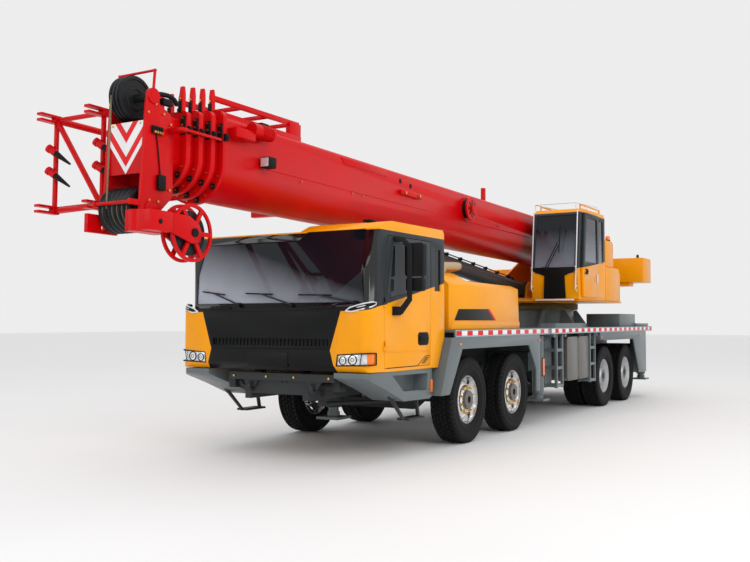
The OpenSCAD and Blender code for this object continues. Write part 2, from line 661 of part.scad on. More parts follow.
// sliding beam with its jack barrel; x is the outrigger's station and s is 1 on the left
module beam(x, s) place() color(grey) side(s) {
  c = beam_x(x, s);
  difference() {
    union() {
      box([c - beam_w / 2, -hw + 180, beam_z - beam_h / 2], [c + beam_w / 2, jack_y, beam_z + beam_h / 2]);
      translate([c, jack_y, 440]) cylinder(r = jack_r, h = 840);
    }
    box([c - beam_w / 2 + 12, -hw + 170, beam_z - beam_h / 2 + 12],
      [c + beam_w / 2 - 12, jack_y - jack_r - 60, beam_z + beam_h / 2 - 12]);
    translate([c, jack_y, 400]) cylinder(r = jack_rod_r + seat, h = 860);
  }
}

// jack rod with its cup and float
module leg(c, y, top, half) {
  color(steel) translate([c, y, float_z + 60]) cylinder(r = jack_rod_r, h = top - float_z - 60);
  color(grey) translate([c, y, float_z + 30]) cylinder(r = jack_rod_r + 14, h = 55);
  color(grey) box([c - half, y - half, float_z], [c + half, y + half, float_z + 30.5]);
}

module beam_leg(x, s) place() side(s) leg(beam_x(x, s), jack_y, 1250, 130);

module leg_nose() place() leg(front_jack_x, 0, 830, 150);

// UPPER WORKS

// slewing table: two tall plates that carry the boom foot, winch shafts and the luffing cylinder's lower pin
module turntable() place() color(orange) {
  difference() {
    union() {
      translate([slew_x, 0, ring_top]) cylinder(r = ring_r + 60, h = op_z - seat - ring_top);
      box([slew_x - 1500, -plate_in - 30, ring_top + 20], [slew_x + 1020, plate_in + 30, table_top]);
      both() side_plate([[slew_x + 1020, table_top - 10], [slew_x + 1020, 2180], [slew_x + 500, 2360], [foot_x + 200, foot_z + 160],
        [foot_x - 160, foot_z + 160], [foot_x - 340, foot_z - 120], [win1[0], win1[1] + 130], [win2[0] - 120, win2[1] + 100],
        [win2[0] - 120, weight_z - 80], [foot_x - 250, table_top + 120], [slew_x - 1500, table_top - 10]], plate_in, plate_in + 30);
      both() side_plate([[luff_x + 180, table_top - 10], [luff_x + 130, luff_z + 60], [luff_x, luff_z + 140], [luff_x - 130, luff_z + 60],
        [luff_x - 300, table_top - 10]], 142, 175);
      box([win2[0] - 120, -plate_in - 10, weight_z - 80], [foot_x - 420, plate_in + 10, weight_z - 40]);
      box([win2[0] - 100, -1000, weight_z - 75], [weight_x1 - 60, 1000, weight_z]);
      for (w = [win1, win2]) ybar(w[0], w[1], 40, -plate_in - 45, plate_in + 45);
      ybar(foot_x, foot_z, 70, -plate_in - 55, plate_in + 55);
      both() ybar(foot_x, foot_z, 140, plate_in + 2, plate_in + 45);
      ybar(luff_x, luff_z, 60, -190, 190);
      box([op_x0 + 40, plate_in + 20, ring_top + 10], [op_x1 - 150, op_y1 - 40, op_z - seat]);
      box([slew_x - 1000, plate_in + 20, ring_top + 10], [op_x0 + 60, op_y1 - 40, op_z - seat]);
      box([slew_x - 1300, -1240, ring_top + 10], [slew_x + 600, -plate_in - 20, op_z - seat]);
    }
    translate([slew_x, 0, ring_top - 10]) cylinder(r = 230, h = 110);
  }
}

// hydraulic tank and covers on both sides of the table
module upper_covers() place() color(orange) {
  y1 = op_y1 - 5;
  side_plate([[op_x0 - 50, op_z], [op_x0 - 50, 2450], [slew_x - 700, 2450], [slew_x - 800, 2350], [slew_x - 800, op_z]], 840, y1);
  box([op_x0 - 530, 560, op_z], [op_x0 - 60, 835, 2920]);
  translate([op_x0 - 300, 700, 2915]) cylinder(r = 50, h = 60);
  box([slew_x - 1250, -1230, op_z], [slew_x + 550, -plate_in - 60, 2240]);
  box([slew_x - 1100, -1200, 2235], [slew_x - 300, -plate_in - 80, 2480]);
}

// cast counterweight, rounded to the tail radius, with a bay for the second winch
module counterweight() place() color(orange) difference() {
  intersection() {
    box([rear_tip - 10, -weight_w / 2, weight_z], [weight_x1, weight_w / 2, weight_z + weight_h]);
    translate([slew_x, 0, weight_z - 10]) cylinder(r = tail_r, h = weight_h + 20, $fn = 120);
  }
  box([win2[0] - drum_r - 60, -plate_in - 46, weight_z - 10], [weight_x1 + 10, plate_in + 46, weight_z + weight_h + 10]);
  both() translate([weight_x1 - 300, 1000, weight_z + weight_h - 60]) cylinder(r = 45, h = 80);
}

// side outline of the operator's cab, anticlockwise from the back of the floor
op_side = [[op_x0, op_z], [op_x1 - 60, op_z], [op_x1, op_z + 480], [op_x1 - 150, op_z + op_h - 90],
  [op_x1 - 260, op_z + op_h], [op_x0 + 60, op_z + op_h], [op_x0, op_z + op_h - 60]];

module op_body(d) side_plate(inset(op_side, d), op_y0 + d, op_y1 - d);

module op_screen(g) cross_plate([[op_y0 + 60 - g, op_z + 420 - g], [op_y1 - 60 + g, op_z + 420 - g],
  [op_y1 - 60 + g, op_z + op_h - 110 + g], [op_y0 + 60 - g, op_z + op_h - 110 + g]], op_x1 - 210, op_x1 + 20);

module op_side_window(g) side_plate([[op_x0 + 120 - g, op_z + 620 - g], [op_x1 - 140 + g, op_z + 620 - g],
  [op_x1 - 260 + g, op_z + op_h - 110 + g], [op_x0 + 120 - g, op_z + op_h - 110 + g]], op_y0 - 20, op_y0 + op_wall + 20);

module op_back_window(g) box([op_x0 - 20, op_y0 + 110 - g, op_z + 640 - g], [op_x0 + op_wall + 20, op_y1 - 110 + g, op_z + op_h - 150 + g]);

module op_roof_window(g) box([op_x0 + 420 - g, op_y0 + 130 - g, op_z + op_h - op_wall - 20], [op_x1 - 420 + g, op_y1 - 130 + g, op_z + op_h + 20]);

op_door_x0 = op_x0 + 500;
op_door_x1 = op_x1 - 170;

// operator's cab with the doorway in its left wall, roof rails and a step plate
module operator_cab() place() color(orange) {
  difference() {
    op_body(0);
    op_body(op_wall);
    op_screen(0);
    op_side_window(0);
    op_back_window(0);
    op_roof_window(0);
    side_plate([[op_door_x0 + 50, op_z + 70], [op_door_x1 - 50, op_z + 70], [op_door_x1 - 40, op_z + 480],
      [op_door_x1 - 150, op_z + op_h - 100], [op_door_x0 + 50, op_z + op_h - 100]], op_y1 - op_wall - 20, op_y1 + 20);
    side_plate([[op_x0 + 110, op_z + 640], [op_door_x0 - 30, op_z + 640], [op_door_x0 - 30, op_z + op_h - 130],
      [op_x0 + 110, op_z + op_h - 130]], op_y1 - op_wall - 20, op_y1 + 20);
  }
  for (z = [op_z + 46, op_z + op_h - 94]) box([op_x0 + 10, op_y1 - 5, z], [op_door_x1 - 160, op_y1 + 5 - seat, z + 18]);
  for (y = [op_y0 + 60, op_y1 - 60]) {
    bar([op_x0 + 120, y, op_z + op_h + 75], [op_x1 - 330, y, op_z + op_h + 75], 28);
    for (x = [op_x0 + 130, op_x1 - 340]) bar([x, y, op_z + op_h - 20], [x, y, op_z + op_h + 75], 28);
  }
}

module operator_glass() place() color(glassy) {
  intersection() {
    difference() {
      op_body(14);
      op_body(24);
    }
    union() {
      op_screen(-0.5);
      op_side_window(-0.5);
      op_back_window(-0.5);
      op_roof_window(-0.5);
      side_plate([[op_x0 + 110.5, op_z + 640.5], [op_door_x0 - 30.5, op_z + 640.5], [op_door_x0 - 30.5, op_z + op_h - 130.5],
        [op_x0 + 110.5, op_z + op_h - 130.5]], op_y1 - op_wall - 20, op_y1 + 20);
    }
  }
}

module operator_seat() place() color(dark) {
  f = op_z + op_wall;
  m = (op_y0 + op_y1) / 2;
  side_plate([[op_x0 + 260, f], [op_x0 + 640, f], [op_x0 + 700, f + 330], [op_x0 + 740, f + 470], [op_x0 + 330, f + 420],
    [op_x0 + 230, f + 1050], [op_x0 + 130, f + 1040], [op_x0 + 230, f + 400]], m - 240, m + 240);
  for (s = [-1, 1]) box([op_x0 + 380, m + s * 305 - 45, f], [op_x0 + 800, m + s * 305 + 45, f + 560]);
  box([op_x1 - 280, m - 60, f], [op_x1 - 180, m + 60, f + 640]);
}

// door that slides back along the outside of the cab
module op_door_outline(g, y0, y1) side_plate([[op_door_x0 - g, op_z + 40 - g], [op_door_x1 + g, op_z + 40 - g],
  [op_door_x1 + 20 + g, op_z + 480], [op_door_x1 - 110 + g, op_z + op_h - 70 + g], [op_door_x0 - g, op_z + op_h - 70 + g]], y0, y1);

module op_door_window(g, y0, y1) side_plate([[op_door_x0 + 90 - g, op_z + 620 - g], [op_door_x1 - 90 + g, op_z + 620 - g],
  [op_door_x1 - 200 + g, op_z + op_h - 150 + g], [op_door_x0 + 90 - g, op_z + op_h - 150 + g]], y0, y1);

module operator_door() place() color(orange) difference() {
  union() {
    op_door_outline(0, op_y1 + 5, op_y1 + 45);
    box([op_door_x1 - 150, op_y1 + 40, op_z + 440], [op_door_x1 - 40, op_y1 + 62, op_z + 480]);
  }
  op_door_window(0, op_y1 - 10, op_y1 + 70);
}

module operator_door_glass() place() color(glassy) op_door_window(-0.5, op_y1 + 20, op_y1 + 30);

// grooved drum on its shaft
module winch(p) place() color(dark) turned(p[0], 0, p[1], concat([[40 + fit, -plate_in + 20], [drum_r, -plate_in + 20],
  [drum_r, -plate_in + 45], [drum_r - 70, -plate_in + 45], [drum_r - 70, plate_in - 45], [drum_r, plate_in - 45],
  [drum_r, plate_in - 20], [40 + fit, plate_in - 20]]));

// BOOM

// boom axes: +X along the boom from the foot pin, +Z square to it
module boom_axes() place() translate([foot_x, 0, foot_z]) rotate([0, -boom_angle, 0]) children();

// boom outline moved in by d: flat top, upright sides, half-round bottom
module boom_outline(d) {
  b = boom_w / 2 - d;
  r = max(20, 60 - d / 2);
  translate([0, bow_w]) circle(r = b, $fn = 96);
  translate([-b, bow_w]) square([2 * b, 332 - d - r - bow_w]);
  translate([-b + r, bow_w]) square([2 * b - 2 * r, 332 - d - bow_w]);
  for (s = [-1, 1]) translate([s * (b - r), 332 - d - r]) circle(r = r);
}

// stretch of boom with the given insets outside and inside
module boom_tube(u0, u1, d0, d1) translate([u0, 0, 0]) rotate([90, 0, 90]) linear_extrude(u1 - u0) difference() {
  boom_outline(d0);
  boom_outline(d1);
}

// collar of section k, with the pads that the next section slides in and a horn for the hose guide
module collar(k) {
  u = base_len + k * collar_gap;
  d = k * boom_step;
  boom_tube(u, u + collar_len, d - collar_rim, d + boom_step - 0.5);
  for (s = [-1, 1]) side_plate([[u + 5, 345 - d], [u + collar_len - 5, 345 - d], [u + collar_len - 5, 520 - k * 22],
    [u + collar_len - 16, 590 - k * 22], [u + 16, 590 - k * 22], [u + 5, 520 - k * 22]], s * 200 - 20, s * 200 + 20);
}

// section k: tube, front collar and the ring of rear pads that runs inside the section before it
module boom_section(k) boom_axes() color(red) {
  u = base_len + k * collar_gap;
  d = k * boom_step;
  boom_tube(260 + 90 * k, u, d, d + boom_plate);
  boom_tube(260 + 90 * k, 340 + 90 * k, d - boom_step + boom_plate + 0.5, d + boom_plate);
  collar(k);
}

// base section with its foot, luffing ears and jib brackets
module boom_base() boom_axes() color(red) difference() {
  union() {
    boom_tube(-300, base_len, 0, boom_plate);
    collar(0);
    both() ybar(0, 0, 125, boom_w / 2 - 60, boom_w / 2 + 8);
    both() side_plate([[luff_boom_u - 420, ear_top], [luff_boom_u - 150, -luff_boom_w - 80],
      [luff_boom_u, -luff_boom_w - 130], [luff_boom_u + 150, -luff_boom_w - 80],
      [luff_boom_u + 420, ear_top]], 96, 126);
    both() ybar(luff_boom_u, -luff_boom_w, 70, 96, 150);
    for (u = [3600, 8300]) {
      cross_plate([[-boom_w / 2 + 2, -120], [-boom_w / 2 + 2, 60], [-560, jib_low(u) - 0.6], [-1160, jib_low(u) - 0.6],
        [-1160, jib_low(u) - 70], [-600, jib_low(u) - 70]], u - 40, u + 40);
    }
    side_plate([[base_len - 1410, 330], [base_len + 10, 330], [base_len + 10, 400], [base_len - 1410, 400]], 165, 235);
  }
  ybar(0, 0, 70 + fit, -boom_w, boom_w);
}

// last section with the boom head: cheek plates, chevron plate, sheave shafts and the folded tip sheave
module boom_head() boom_axes() color(red) {
  k = 4;
  d = k * boom_step;
  b = boom_w / 2 - d;
  u = head_u;
  difference() {
    union() {
      boom_tube(260 + 90 * k, u - 40, d, d + boom_plate);
      boom_tube(260 + 90 * k, 340 + 90 * k, d - boom_step + boom_plate + 0.5, d + boom_plate);
      both() side_plate([[u - 137, -540], [u - 137, 180], [u - 60, 230], [u + 40, 270], [u + 70, 350], [u + 130, 395], [u + 190, 350], [u + 205, 290],
        [u + 262, -700], [u + 240, -800], [u + 80, -800], [u + 30, -700]], b - 4, b + 26);
      cross_plate([[-b, -360], [b, -360], [b, 110], [-b, 110]], u + 190, u + 210);
      box([u - 60, -b, -430], [u - 30, b, -200]);
      ybar(u + 130, 339, 38, -b, b + 40);
      ybar(u + 130, -674, 38, -b - 40, b + 40);
      both() ybar(u + 130, 339, 70, b - 2, b + 38);
      both() ybar(u + 130, -674, 75, b - 2, b + 38);
      both() bar([u + 120, b + 10, 330], [u + 100, b + 10, 590], 26);
      bar([u + 100, -b - 20, 580], [u + 100, b + 20, 580], 24);
      box([u + 73, b + 20, -905], [u + 424, b + 180, -720]);
      box([u + 73, -b - 62, -885], [u + 424, -b - 20, -720]);
      translate([u + 390, b + 100, -905]) cylinder(r = 55, h = 185);
      side_plate([[u + 80, -720], [u + 80, -930], [u - 60, -990], [u - 200, -930], [u - 200, -820], [u - 60, -720]], b + 150, b + 175);
      tip_guard(u - 130, b + 150);
      tip_guard(u - 130, b + 265);
      ybar(u - 130, -875, 35, b + 150, b + 290);
      ybar(u - 130, -875, 200, b + 190, b + 250);
      both() box([u + 250, b - 4, -660], [u + 375, b + 20, -610]);
      bar([u + 355, -b - 10, -635], [u + 355, b + 10, -635], 30);
    }
    both() ybar(u + 240, -830, 25 + fit, b - 10, b + 220);
  }
}

// spoked guard beside the tip sheave
module tip_guard(u, y) {
  difference() {
    ybar(u, -875, 262, y, y + 22);
    ybar(u, -875, 232, y - 5, y + 30);
  }
  for (a = [0:60:300]) translate([u, y, -875]) rotate([0, a, 0]) translate([30, 0, -20]) cube([212, 22, 40]);
  ybar(u, -875, 60, y, y + 22);
}

// row of rope sheaves on one shaft
module sheave_row(u, w, y0, n, p) boom_axes() color(dark) turned(u, 0, w, concat(
  [[38 + fit, y0]],
  [for (i = [0:n - 1], q = [[sheave_r, 0], [sheave_r, 0.12], [sheave_r - 32, 0.5], [sheave_r, 0.88]]) [q[0], y0 + (i + q[1]) * p]],
  [[sheave_r, y0 + n * p], [38 + fit, y0 + n * p]]));

// underside of the stowed jib along the boom
function jib_low(u) = -200 - 60 * (u - 2700) / 8600;

// stowed lattice jib with its open base frame ahead
module jib() boom_axes() color(red) {
  ub = head_u - 70;
  base = [for (y = [-600, -1260], w = [-575, 325]) [ub, y, w]];
  neck = [for (y = [-620, -1100], w = [jib_low(9700) + 30, 270]) [9700, y, w]];
  tip = [for (y = [-640, -1000], w = [jib_low(2800) + 30, 190]) [2800, y, w]];
  for (i = [0:3]) {
    bar(base[i], neck[i], 70, 10);
    bar(neck[i], tip[i], 60, 10);
    for (z = [-28, 28]) box([ub - 20, base[i][1] - 35, base[i][2] + z - 12], [ub + 215, base[i][1] + 35, base[i][2] + z + 12]);
    box([ub - 30, base[i][1] - 35, base[i][2] - 40], [ub + 40, base[i][1] + 35, base[i][2] + 40]);
  }
  for (f = [base, neck, tip], e = [[0, 1], [2, 3], [0, 2], [1, 3]]) bar(f[e[0]], f[e[1]], 50, 10);
  bar(base[3], base[0], 55, 10);
  n = 7;
  for (e = [[0, 1], [2, 3], [0, 2], [1, 3]], i = [0:n - 1])
    bar(neck[e[i % 2]] + (tip[e[i % 2]] - neck[e[i % 2]]) * i / n,
      neck[e[1 - i % 2]] + (tip[e[1 - i % 2]] - neck[e[1 - i % 2]]) * (i + 1) / n, 34, 8);
}

// luffing cylinder's own axes: +X from its lower pin to its boom pin
module luff_axes() place() translate([luff_x, 0, luff_z]) rotate([0, -luff_tilt, 0]) children();

module luff_barrel() luff_axes() color(grey) difference() {
  union() {
    ybar(0, 0, 130, -138, 138);
    box([0, -110, -100], [200, 110, 100]);
    translate([150, 0, 0]) rotate([0, 90, 0]) cylinder(d = luff_d, h = luff_len - 500);
    translate([luff_len - 480, 0, 0]) rotate([0, 90, 0]) cylinder(d = luff_d + 30, h = 130);
  }
  ybar(0, 0, 60 + fit, -200, 200);
  translate([280, 0, 0]) rotate([0, 90, 0]) cylinder(d = luff_rod_d + 0.2, h = luff_len);
}

// rod with its boom eye; the pin stays inside the eye
module luff_rod() luff_axes() color(steel) {
  translate([320, 0, 0]) rotate([0, 90, 0]) cylinder(d = luff_rod_d, h = luff_len - 360);
  ybar(luff_len, 0, 115, -92, 92);
}

chassis_frame();
deck();
side_skirts();
steps();
side_boxes();
cab_shell();
cab_front_panel();
cab_glass();
cab_interior();
lamps();
engine();
engine_cover();
axles();
slew_ring();
door(1);  // door_left
door_glass(1);  // door_left_glass
door(-1);  // door_right
door_glass(-1);  // door_right_glass
knuckle(0, 1);  // knuckle_1_left
knuckle(0, -1);  // knuckle_1_right
knuckle(ax2, 1);  // knuckle_2_left
knuckle(ax2, -1);  // knuckle_2_right
front_wheel(0, 1);  // wheel_1_left
front_wheel(0, -1);  // wheel_1_right
front_wheel(ax2, 1);  // wheel_2_left
front_wheel(ax2, -1);  // wheel_2_right
twin_wheel(ax3, 1);  // wheel_3_left
twin_wheel(ax3, -1);  // wheel_3_right
twin_wheel(ax4, 1);  // wheel_4_left
twin_wheel(ax4, -1);  // wheel_4_right
beam(out_x[0], 1);  // beam_front_left
beam(out_x[0], -1);  // beam_front_right
beam(out_x[1], 1);  // beam_rear_left
beam(out_x[1], -1);  // beam_rear_right
beam_leg(out_x[0], 1);  // leg_front_left
beam_leg(out_x[0], -1);  // leg_front_right
beam_leg(out_x[1], 1);  // leg_rear_left
beam_leg(out_x[1], -1);  // leg_rear_right
leg_nose();
turntable();
upper_covers();
counterweight();
operator_cab();
operator_glass();
operator_seat();
operator_door();
operator_door_glass();
winch(win1);  // winch_main
winch(win2);  // winch_aux
boom_base();
boom_section(1);  // boom_section_2
boom_section(2);  // boom_section_3
boom_section(3);  // boom_section_4
boom_head();
jib();
sheave_row(head_u + 130, 339, -106, 3, 43.5);  // top_sheaves
sheave_row(head_u + 130, -674, -200, 6, 60);  // lower_sheaves
luff_barrel();
luff_rod();
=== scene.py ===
# %% [markdown]
# # A truck crane, dressed over its CAD frame
# The CAD pack gives every solid its place and every joint its axis. This lesson puts paint,
# rubber, glass and small fittings on those solids. Large forms come from the frame. Small
# fittings are placed on the solids by points read from the photograph, and each rides the body
# that carries it, so it stays right when a joint moves.

# %% Load the frame
import json
import math

import bmesh
import bpy
from mathutils import Matrix, Vector


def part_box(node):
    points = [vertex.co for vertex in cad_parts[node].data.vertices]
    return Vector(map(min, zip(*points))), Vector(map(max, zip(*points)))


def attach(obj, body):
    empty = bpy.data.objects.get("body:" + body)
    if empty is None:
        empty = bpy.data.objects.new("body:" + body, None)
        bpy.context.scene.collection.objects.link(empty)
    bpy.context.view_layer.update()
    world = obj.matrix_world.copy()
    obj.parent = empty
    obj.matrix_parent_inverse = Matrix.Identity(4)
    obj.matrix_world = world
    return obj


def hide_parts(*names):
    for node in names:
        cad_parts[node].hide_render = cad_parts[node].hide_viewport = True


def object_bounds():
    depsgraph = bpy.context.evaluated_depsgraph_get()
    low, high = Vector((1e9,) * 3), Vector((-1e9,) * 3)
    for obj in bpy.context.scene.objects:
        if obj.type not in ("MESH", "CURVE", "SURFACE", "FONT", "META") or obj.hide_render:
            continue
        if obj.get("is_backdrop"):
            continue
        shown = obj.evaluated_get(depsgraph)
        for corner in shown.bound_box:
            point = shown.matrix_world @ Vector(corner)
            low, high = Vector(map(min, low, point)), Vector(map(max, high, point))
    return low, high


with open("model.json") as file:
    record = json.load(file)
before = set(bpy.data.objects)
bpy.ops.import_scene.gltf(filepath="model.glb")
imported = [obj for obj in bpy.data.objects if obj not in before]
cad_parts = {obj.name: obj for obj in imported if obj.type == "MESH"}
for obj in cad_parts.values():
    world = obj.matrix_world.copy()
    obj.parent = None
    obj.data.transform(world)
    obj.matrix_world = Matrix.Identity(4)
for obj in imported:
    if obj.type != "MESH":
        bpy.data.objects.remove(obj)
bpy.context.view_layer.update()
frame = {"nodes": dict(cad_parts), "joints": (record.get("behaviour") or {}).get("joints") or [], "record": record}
joints = {j["name"]: j for j in frame["joints"]}
body_of = {n: b for b, group in frame["record"]["behaviour"]["bodies"].items() for n in group}
slot_of = {p["node"]: p["material_slot"] for p in frame["record"]["subparts"]}
SIDES = (("left", 1), ("right", -1))

# %% [markdown]
# ## Two sets of axes
# A truck is measured from its first axle, and a boom from its foot pin. With one matrix for
# each, a piece is drawn in plain numbers and then carried into the shared frame.

# %% Truck axes and boom axes
AXLE_1 = joints["wheel_turn_1_left"]["pos_m"][0]
TRUCK = Matrix.Translation((AXLE_1, 0, 0))
FOOT = Vector(joints["luff"]["pos_m"])
ALONG = Vector(joints["telescope_2"]["axis"])
BOOM = Matrix.Translation(FOOT) @ ALONG.to_track_quat("X", "Z").to_matrix().to_4x4()
to_boom = BOOM.inverted()
SHEAVE_AHEAD = 0.13  # the sheave shafts lie this far ahead of the head's own station
head_u = (to_boom @ Vector(joints["top_sheaves_turn"]["pos_m"])).x - SHEAVE_AHEAD
print("axle 1 at", round(AXLE_1, 3), "boom foot at", [round(v, 3) for v in FOOT], "head at", round(head_u, 3))

# %% [markdown]
# ## Camera
# The camera's place, turn and lens were fitted to the wheels of the photograph: it stands
# ahead and to the left, a little below the cab's window sill, and looks slightly upwards.

# %% Camera
YAW, PITCH = 0.5373, 0.0438
camera = bpy.data.objects.new("camera", bpy.data.cameras.new("camera"))
bpy.context.scene.collection.objects.link(camera)
camera.data.lens = 43.82
camera.data.sensor_width = 36
camera.location = (10.2875 + AXLE_1, 6.0486, 1.4956)
look = Vector((-math.cos(YAW) * math.cos(PITCH), -math.sin(YAW) * math.cos(PITCH), math.sin(PITCH)))
camera.rotation_mode = "QUATERNION"
camera.rotation_quaternion = look.to_track_quat("-Z", "Y")
bpy.context.scene.camera = camera
bpy.context.scene.view_settings.view_transform = "Standard"
print("camera at", [round(v, 2) for v in camera.location])

# %% [markdown]
# ## Procedural finishes
# Paint is never one flat colour: it has large soft patches, a fine orange peel in the lacquer
# and a roughness that wanders. One function makes all of these from two noise fields in
# Object coordinates, and each finish then differs only in its numbers.


# %% A finish from two noise fields
def put(tree, socket, value):
    if isinstance(value, bpy.types.NodeSocket):
        tree.links.new(value, socket)
    else:
        socket.default_value = value


def feed(tree, node, **values):
    for key, value in values.items():
        put(tree, node.inputs[key.replace("_", " ")], value)
    return node


def wire(tree, kind, **values):
    return feed(tree, tree.nodes.new("ShaderNode" + kind), **values)


def calc(tree, operation, *values):
    node = tree.nodes.new("ShaderNodeMath")
    node.operation = operation
    for socket, value in zip(node.inputs, values):
        put(tree, socket, value)
    return node.outputs[0]


def ramp(tree, fac, stops, hard=False):
    node = wire(tree, "ValToRGB", Fac=fac)
    node.color_ramp.interpolation = "CONSTANT" if hard else "LINEAR"
    for element, (place, colour) in zip(node.color_ramp.elements, stops):
        element.position = place
        element.color = (*colour, 1)
    return node.outputs["Color"]


def begin(name):
    material = bpy.data.materials.new(name)
    material.use_nodes = True
    tree = material.node_tree
    coords = tree.nodes.new("ShaderNodeTexCoord").outputs["Object"]
    return material, tree, tree.nodes["Principled BSDF"], coords


def spread(colour, by):
    return tuple(max(0.0, min(1.0, c * by)) for c in colour)


ROAD_DUST = (0.19, 0.17, 0.15, 1)
DUST_FROM, DUST_TO = 0.2, 1.3  # dust thins out between these heights


def finish(name, colour, rough, patch=1.6, vary=0.1, metal=0.0, coat=0.0, grain=260.0, bump=0.05,
           dust=0.0, shine=0.5):
    material, tree, shader, coords = begin(name)
    broad = wire(tree, "TexNoise", Vector=coords, Scale=patch, Detail=5.0, Roughness=0.6).outputs["Fac"]
    fine = wire(tree, "TexNoise", Vector=coords, Scale=grain, Detail=2.0).outputs["Fac"]
    tint = ramp(tree, broad, [(0.3, spread(colour, 1 - vary)), (0.7, spread(colour, 1 + vary))])
    if dust:
        height = wire(tree, "SeparateXYZ", Vector=coords).outputs["Z"]
        low = wire(tree, "MapRange", Value=height, From_Min=DUST_FROM, From_Max=DUST_TO, To_Min=dust,
                   To_Max=0.0)
        mix = wire(tree, "Mix")
        mix.data_type = "RGBA"
        put(tree, mix.inputs["Factor"], calc(tree, "MULTIPLY", low.outputs["Result"], broad))
        put(tree, mix.inputs[6], tint)
        put(tree, mix.inputs[7], ROAD_DUST)
        tint = mix.outputs[2]
    sheen = wire(tree, "MapRange", Value=broad, From_Min=0.25, From_Max=0.75, To_Min=rough[0],
                 To_Max=rough[1])
    relief = wire(tree, "Bump", Strength=bump, Distance=0.002, Height=fine)
    feed(tree, shader, Base_Color=tint, Roughness=sheen.outputs["Result"], Normal=relief.outputs["Normal"],
         Metallic=metal, Specular_IOR_Level=shine, Coat_Weight=coat, Coat_Roughness=0.06)
    return material


LACQUER = {"rough": (0.25, 0.34), "vary": 0.05, "coat": 0.15, "shine": 0.15}
LENS = {"rough": (0.12, 0.2), "patch": 30, "vary": 0.1, "grain": 300, "bump": 0.3, "coat": 0.3}
yellow = finish("cab_yellow_paint", (0.90, 0.345, 0.001), **LACQUER)
orange = finish("upper_orange_paint", (0.88, 0.33, 0.001), **LACQUER)
red = finish("boom_red_paint", (0.58, 0.001, 0.003), (0.3, 0.4), vary=0.07, coat=0.08, shine=0.12)
slate = finish("carrier_slate_paint", (0.112, 0.140, 0.152), (0.34, 0.48), vary=0.12, coat=0.2, dust=0.4,
               shine=0.35)
dark_slate = finish("frame_dark_paint", (0.020, 0.024, 0.027), (0.45, 0.6), vary=0.2, dust=0.25, shine=0.25)
pale_edge = finish("deck_edge_grey", (0.36, 0.40, 0.43), (0.3, 0.45), vary=0.08, metal=0.4)
trim_grey = finish("cab_trim_grey", (0.026, 0.031, 0.036), (0.36, 0.5), vary=0.08, grain=500, bump=0.12,
                   shine=0.22)
panel_black = finish("nose_panel_black", (0.004, 0.0045, 0.005), (0.3, 0.42), vary=0.15, grain=520, bump=0.1,
                     shine=0.16)
soft_black = finish("moulded_black", (0.005, 0.005, 0.006), (0.5, 0.68), vary=0.2, grain=420, bump=0.15,
                    shine=0.2)
seat_cloth = finish("seat_cloth", (0.028, 0.030, 0.034), (0.8, 0.95), vary=0.2, grain=900, bump=0.5,
                    shine=0.1)
chrome = finish("polished_rim", (0.82, 0.82, 0.82), (0.14, 0.22), vary=0.03, metal=1.0, bump=0.0)
silver = finish("silver_rim_paint", (0.66, 0.67, 0.68), (0.26, 0.36), vary=0.05, metal=0.55)
tank_metal = finish("tank_brushed_grey", (0.17, 0.165, 0.155), (0.28, 0.42), vary=0.1, metal=0.8, dust=0.2)
zinc_gold = finish("zinc_gold_nuts", (0.66, 0.40, 0.10), (0.22, 0.36), vary=0.12, metal=1.0)
gear_steel = finish("greased_gear_steel", (0.16, 0.115, 0.04), (0.4, 0.6), patch=9, vary=0.3, metal=0.7)
nylon = finish("sheave_black", (0.010, 0.0115, 0.013), (0.36, 0.48), vary=0.15, shine=0.25)
rope_steel = finish("rope_steel", (0.20, 0.165, 0.10), (0.35, 0.5), patch=60, vary=0.3, metal=0.8, grain=700,
                    bump=0.5)
rail_white = finish("rail_white", (0.72, 0.74, 0.76), (0.28, 0.4), vary=0.05, metal=0.2)
rod_chrome = finish("ground_rod", (0.55, 0.56, 0.58), (0.12, 0.2), vary=0.05, metal=1.0, grain=900, bump=0.02)
pale_bronze = finish("pale_bronze", (0.48, 0.36, 0.22), (0.3, 0.45), metal=0.6)
amber = finish("amber_lens", (0.95, 0.19, 0.004), **LENS)
tail_red = finish("red_lens", (0.6, 0.01, 0.01), **LENS)
silver_glass = finish("lamp_silver_glass", (0.68, 0.70, 0.73), (0.06, 0.14), patch=24, vary=0.25, metal=0.4,
                      coat=0.4, bump=0.02)
barrel_grey = finish("barrel_grey_paint", (0.045, 0.052, 0.056), (0.3, 0.42), vary=0.12, coat=0.2, shine=0.35)
screen_black = finish("screen_border_black", (0.004, 0.005, 0.006), (0.06, 0.12), vary=0.15, coat=0.3,
                      bump=0.0,
                      shine=0.4)
rubber = finish("tyre_rubber", (0.007, 0.0072, 0.0076), (0.6, 0.78), patch=14, vary=0.3, grain=420, bump=0.25,
                dust=0.03, shine=0.15)
print(len(bpy.data.materials), "finishes")
